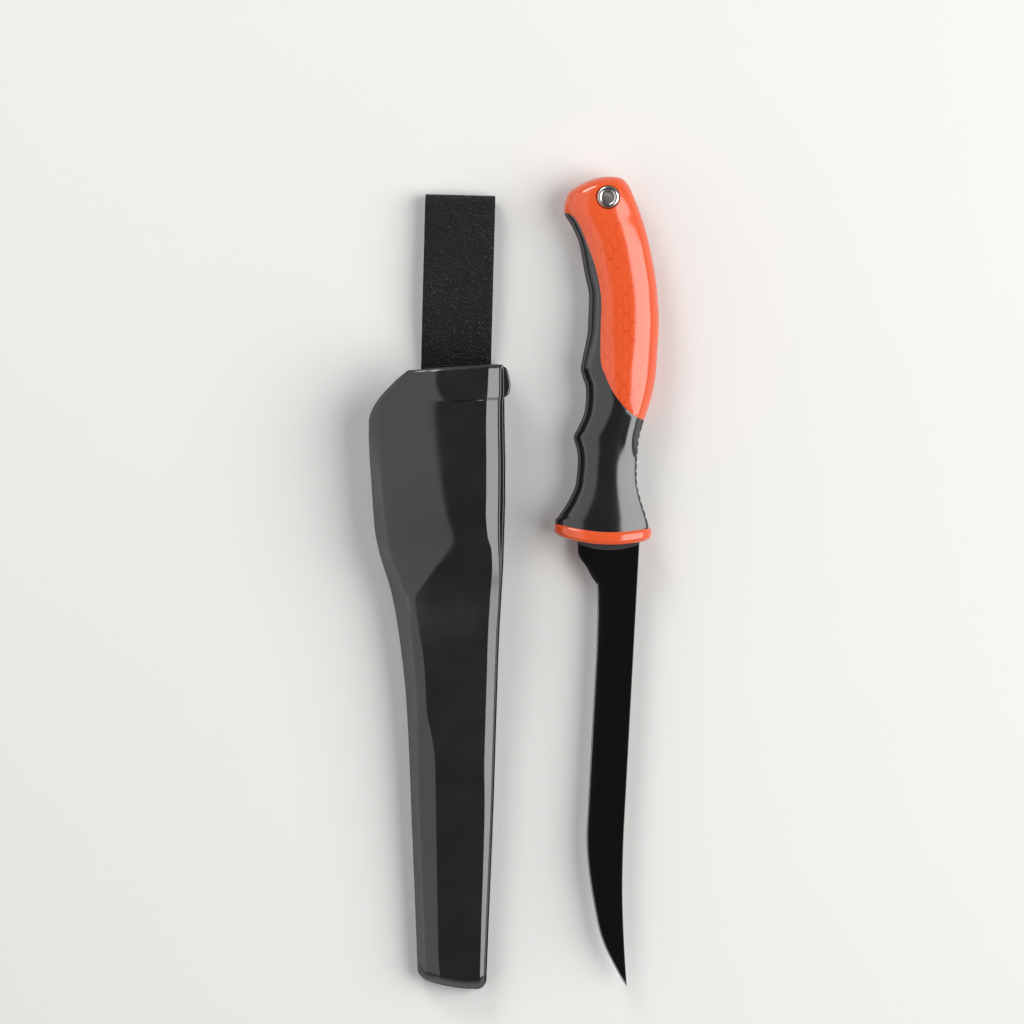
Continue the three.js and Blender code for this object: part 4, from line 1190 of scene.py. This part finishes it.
def back_outer(v):
    left, right, top = sheath_left(v), sheath_side(v) + BACK_RIM, seam(v) - SEAM_GAP / 2
    foot = np.zeros_like(v)
    corners = [
        (left, top), (left, foot + BACK_CHAMFER), (left + BACK_CHAMFER, foot), (right - BACK_CHAMFER, foot),
        (right, foot + BACK_CHAMFER), (right, top),
    ]
    return rounded(corners, (BACK_ROUND,) * 4)


def back_inner(v):
    left, right, top = sheath_left(v) + SHEATH_WALL, sheath_side(v) - SIDE_WALL, seam(v) - SEAM_GAP / 2
    floor = np.full_like(v, SHEATH_WALL)
    corners = [
        (left, top), (left, floor + CAVITY_CORNER), (left + CAVITY_CORNER, floor),
        (right - CAVITY_CORNER, floor), (right, floor + CAVITY_CORNER), (right, top),
    ]
    return rounded(corners, (CAVITY_ROUND,) * 4)


def back_seam(v):
    return seam(v) - SEAM_GAP / 2


def make_tab():
    """Rounded thumb tab: plan rings that draw in at its top and foot."""
    side = float(sheath_side(MOUTH_LEFT))
    root = side - TAB_ROOT
    head = TAB_FOOT + TAB_HEIGHT
    outline = spline_through(
        (
            (root, head), (side + 1.2, head - 1.2), (side + TAB_REACH * 0.85, TAB_FOOT + 8),
            (side + TAB_REACH, TAB_FOOT + 4.5), (side + TAB_REACH * 0.6, TAB_FOOT + 1.5), (root, TAB_FOOT),
        ),
        8,
    )
    top = float(seam(MOUTH_LEFT)) - SEAM_GAP - TAB_DROP
    pivot = np.array((root, TAB_FOOT + TAB_HEIGHT / 2))
    span = np.array((TAB_REACH + TAB_ROOT, TAB_HEIGHT / 2))
    edge = [(1 - math.cos(t), 1 - math.sin(t)) for t in np.linspace(0, math.pi / 2, 7)]
    profile = [(TAB_THICKNESS - drop * TAB_EDGE, inset * TAB_EDGE) for inset, drop in edge]
    profile = [(TAB_THICKNESS - height, inset) for height, inset in reversed(profile)] + profile
    rings = []
    for height, inset in profile:
        ring = pivot + (outline - pivot) * (1 - inset / span)
        rings.append(np.concatenate((ring, np.full((len(ring), 1), top - TAB_THICKNESS + height)), 1))
    rings = np.array(rings)
    return make_piece("tab", rings.reshape(-1, 3), ring_faces(*rings.shape[:2]), sheath_place)


def make_sheath_back():
    shell = make_shell(
        "sheath_back",
        shell_grid(back_outer, 0.0, BACK_END_ROUND, back_seam, BACK_END_SHAPE),
        shell_grid(back_inner, SHEATH_WALL, BACK_END_INNER, back_seam, BACK_END_SHAPE),
    )
    combine(shell, make_tab(), "UNION")
    half = STRAP_HALF_SEAT
    edge = SHEATH_WALL
    pad = box_piece(
        "pad", -half - edge, half + edge, STRAP_SEAT_FOOT - edge, STRAP_NOTCH, PAD_FOOT, PAD_TOP, sheath_place
    )
    combine(shell, pad, "UNION")
    for name, low, top in (
        ("recess", STRAP_SEAT_FOOT, STRAP_SEAT_DEPTH),
        ("notch", STRAP_NOTCH, PAD_TOP + 2),
    ):
        room = box_piece(name, -half, half, low, REACH, CUT_FOOT, top, sheath_place)
        combine(shell, room, "DIFFERENCE")
    for side in (-1, 1):
        spot = (side * RIVET_HALF_SPACING, RIVET_PLACE)
        hole = round_piece("rivet_hole", spot, RIVET_HOLE, CUT_FOOT, PAD_TOP + 1, sheath_place, 32)
        combine(shell, hole, "DIFFERENCE")
    return shell


sheath_back = make_sheath_back()
sheath_back.data.materials.append(sheath_plastic)
smooth_below(sheath_back, 38)
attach(sheath_back, "sheath")
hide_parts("sheath_back")

# Belt strap
# One strip of embossed black leatherette. It is folded into a loop for the belt, and its two ends lie on each
# other in the back shell's recess, riveted through.
STRAP_HALF_WIDTH = 13.0
STRAP_THICKNESS = 1.1
STRAP_EDGE = 0.35
STRAP_FOOT = 46.0
BEND_PLACE = 66.0
BEND_LEAD = 1.5
UPPER_END = 2.55
LOWER_END = 1.45
FOLD_PLACE = 126.3
FOLD_MIDDLE = 3.9
FOLD_RADIUS = 3.15
LEATHER_DARK = (0.0012, 0.0013, 0.0017, 1.0)
LEATHER_PALE = (0.0150, 0.0155, 0.0178, 1.0)


def strap_path():
    """Middle line of the strap seen from the side: upper end, front run, fold, back run, lower end."""
    low, high = FOLD_MIDDLE - FOLD_RADIUS, FOLD_MIDDLE + FOLD_RADIUS
    lead = BEND_PLACE - BEND_LEAD
    path = [(v, UPPER_END) for v in np.linspace(STRAP_FOOT, lead, 16, endpoint=False)]
    rise = ((lead, UPPER_END), (71, UPPER_END + 0.4), (76, high - 0.1), (92, high + 0.1))
    path += bezier(rise, 40)[:-1]
    path += bezier(((92, high + 0.1), (104, high + 0.25), (112, high), (FOLD_PLACE, high)), 40)[:-1]
    path += arc((FOLD_PLACE, FOLD_MIDDLE), FOLD_RADIUS, FOLD_RADIUS, 90, -90, 31)
    path += [(v, low) for v in np.linspace(FOLD_PLACE, 82, 50)[1:-1]]
    path += bezier(((82, low), (76, low), (72, LOWER_END), (BEND_PLACE, LOWER_END)), 24)
    path += [(v, LOWER_END) for v in np.linspace(BEND_PLACE, STRAP_FOOT, 17)[1:]]
    return np.array(path)


def make_strap():
    path = strap_path()
    along = np.gradient(path, axis=0)
    along /= np.linalg.norm(along, axis=1, keepdims=True)
    up = np.stack((-along[:, 1], along[:, 0]), 1)
    half, edge, thick = STRAP_HALF_WIDTH, STRAP_EDGE, STRAP_THICKNESS / 2
    right = arc((half - edge, 0), edge, thick, -90, 90, 9)
    top = [(u, thick) for u in np.linspace(half - edge, edge - half, 15)[1:-1]]
    left = arc((edge - half, 0), edge, thick, 90, 270, 9)
    foot = [(u, -thick) for u in np.linspace(edge - half, half - edge, 15)[1:-1]]
    ring = right + top + left + foot
    points = []
    for spot, rise in zip(path, up):
        points += [(u, spot[0] + rise[0] * h, spot[1] + rise[1] * h) for u, h in ring]
    return make_piece("belt_strap", points, ring_faces(len(path), len(ring)), sheath_place)


def make_leatherette():
    """Embossed grain: small crinkled cells in wavy rows, glossy on their tops and dull in the folds."""
    material, tree, shader = new_material("embossed_strap_leather")
    spots = millimetres(tree, sheath_place)
    skin = skin_of(tree, spots, 5.0, 0.35, 0.07)
    marks = use_effect(tree, handling_marks, {"Vector": spots, "Density": 0.7})
    wavy = node(tree, "ShaderNodeTexNoise", {"Vector": spots, "Scale": 0.55, "Detail": 2.0}).outputs["Color"]
    bent = vector_calc(tree, "MULTIPLY_ADD", wavy, (1.2, 1.5, 1.5), spots)
    cells = stretch(tree, bent, (0.62, 1.1, 1.1))
    crinkle = node(tree, "ShaderNodeTexVoronoi", {"Vector": cells, "Scale": 1.0}, feature="DISTANCE_TO_EDGE")
    pebble = ramp(tree, crinkle.outputs["Distance"], 0.04, 0.34)
    relief = calc(tree, "MULTIPLY_ADD", skin["Grain"], 0.35, pebble)
    shade = calc(tree, "MULTIPLY", pebble, ramp(tree, skin["Cloud"], 0.25, 0.75, 0.45, 1.0))
    gloss = ramp(tree, pebble, 0.0, 1.0, 0.66, 0.34)
    feed(tree, shader, {
        "Base Color": mix_colour(tree, shade, LEATHER_DARK, LEATHER_PALE),
        "Roughness": calc(tree, "MULTIPLY_ADD", marks["Scuffs"], 0.1, gloss),
        "Normal": bump(tree, relief, 0.00022, bump(tree, skin["Wave"], 0.00012)),
        "IOR": 1.36,
    })
    return material


strap = make_strap()
strap.data.materials.append(make_leatherette())
smooth_below(strap, 50)
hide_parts("belt_loop", "belt_strap_ends")
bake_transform(strap)

# Strap rivets and their washers
# Two plated rivets pass through strap and back shell. Their low domed heads lie against the strap behind, and
# a washer holds each shank inside the pocket.
RIVET_HEAD = 3.0
RIVET_SHANK = 1.5
RIVET_FOOT = 0.05
RIVET_SEAT = 0.6
RIVET_TOP = 5.9
RIVET_EDGE = 0.3
RIVET_WASHER = 3.3
RIVET_WASHER_FOOT = 5.2
RIVET_WASHER_TOP = 5.7
STEEL = (0.50, 0.50, 0.51, 1.0)
STEEL_DULL = (0.34, 0.34, 0.35, 1.0)

rivet_plate = plated_material("plated_rivet_steel", sheath_place, STEEL, STEEL_DULL, 0.26)
for side, name in ((-1, "left"), (1, "right")):
    spot = (side * RIVET_HALF_SPACING, RIVET_PLACE)
    head = arc((0, RIVET_SEAT), RIVET_HEAD, RIVET_SEAT - RIVET_FOOT, -89, 0, 12)
    shank = [
        (RIVET_SHANK, RIVET_SEAT),
        (RIVET_SHANK, RIVET_TOP - RIVET_EDGE),
        (RIVET_SHANK - RIVET_EDGE, RIVET_TOP),
        (0.05, RIVET_TOP),
    ]
    rivet = turned_piece(f"loop_rivet_{name}", head + shank, spot, sheath_place, 48)
    section = ring_profile(RIVET_SHANK + 0.1, RIVET_WASHER, RIVET_WASHER_FOOT, RIVET_WASHER_TOP, 0.1)
    washer = turned_piece(f"rivet_washer_{name}", section, spot, sheath_place, 48)
    for piece in (rivet, washer):
        piece.data.materials.append(rivet_plate)
        smooth_below(piece, 40)
        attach(piece, "sheath")
    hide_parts(f"loop_rivet_{name}")
    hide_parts(f"rivet_washer_{name}")

# Floor, light and camera
# The set lies on a plain pale table. A broad softbox and a low one stand on the left, a brighter one on the
# right and a small lamp beyond the butt. The camera looks straight down through the dark gap between them.
FLOOR_COLOUR = (0.72, 0.71, 0.69, 1.0)
FLOOR_PALE = (0.75, 0.74, 0.72, 1.0)
FLOOR_HALF = 4.0
LAMP_DISTANCE = 1.5
CAMERA_AIM = Vector((-0.0008, 0.0264, 0.012))
CAMERA_DISTANCE = 2.4
CAMERA_LENS = 228.0
WORLD_ABOVE = (0.06, 0.06, 0.064, 1.0)
WORLD_LEVEL = (0.40, 0.40, 0.41, 1.0)


def make_floor():
    half = FLOOR_HALF
    mesh = bpy.data.meshes.new("table_top")
    level = cad_box[0].z - 0.0001
    corners = [(-half, -half, level), (half, -half, level), (half, half, level), (-half, half, level)]
    mesh.from_pydata(corners, [], [(0, 1, 2, 3)])
    floor = bpy.data.objects.new("table_top", mesh)
    bpy.context.collection.objects.link(floor)
    material, tree, shader = new_material("pale_table")
    spots = node(tree, "ShaderNodeTexCoord").outputs["Object"]
    cloud = noise(tree, spots, 3.0, 3.0)
    tone = mix_colour(tree, cloud, FLOOR_COLOUR, FLOOR_PALE)
    feed(tree, shader, {"Base Color": tone, "Roughness": 0.8})
    floor.data.materials.append(material)
    return floor


def add_softbox(name, direction, wide, long, radiance):
    lamp = bpy.data.lights.new(name, "AREA")
    lamp.shape = "RECTANGLE"
    lamp.size = long
    lamp.size_y = wide
    lamp.energy = radiance * math.pi * wide * long
    box = bpy.data.objects.new(name, lamp)
    box.location = CAMERA_AIM + Vector(direction).normalized() * LAMP_DISTANCE
    box.rotation_euler = (CAMERA_AIM - box.location).to_track_quat("-Z", "Y").to_euler()
    box.visible_camera = False
    bpy.context.collection.objects.link(box)


def make_world():
    world = bpy.data.worlds.new("studio")
    world.use_nodes = True
    tree = world.node_tree
    direction = node(tree, "ShaderNodeTexCoord").outputs["Generated"]
    height = ramp(tree, parts(tree, direction)[2], 0.0, 0.75)
    colour = mix_colour(tree, height, WORLD_LEVEL, WORLD_ABOVE)
    tree.links.new(colour, tree.nodes["Background"].inputs["Color"])
    bpy.context.scene.world = world


make_floor()
for name, side, lean, wide, long, radiance in (
    ("left_softbox", -90, 42, 1.45, 2.4, 0.86), ("low_left_softbox", -90, 74, 0.5, 2.4, 0.85),
    ("right_softbox", 90, 47, 1.5, 1.2, 4.8), ("top_lamp", -25, 55, 0.45, 0.6, 8.8),
):
    turn, tilt = math.radians(side), math.radians(lean)
    direction = (math.sin(turn) * math.sin(tilt), math.cos(turn) * math.sin(tilt), math.cos(tilt))
    add_softbox(name, direction, wide, long, radiance)
make_world()

camera = bpy.data.objects.new("camera", bpy.data.cameras.new("camera"))
camera.location = CAMERA_AIM + Vector((0.0, 0.0, CAMERA_DISTANCE))
camera.data.lens = CAMERA_LENS
camera.data.sensor_width = 36.0
camera.data.clip_end = 20.0
bpy.context.collection.objects.link(camera)
bpy.context.scene.camera = camera
bpy.context.scene.view_settings.view_transform = "Standard"
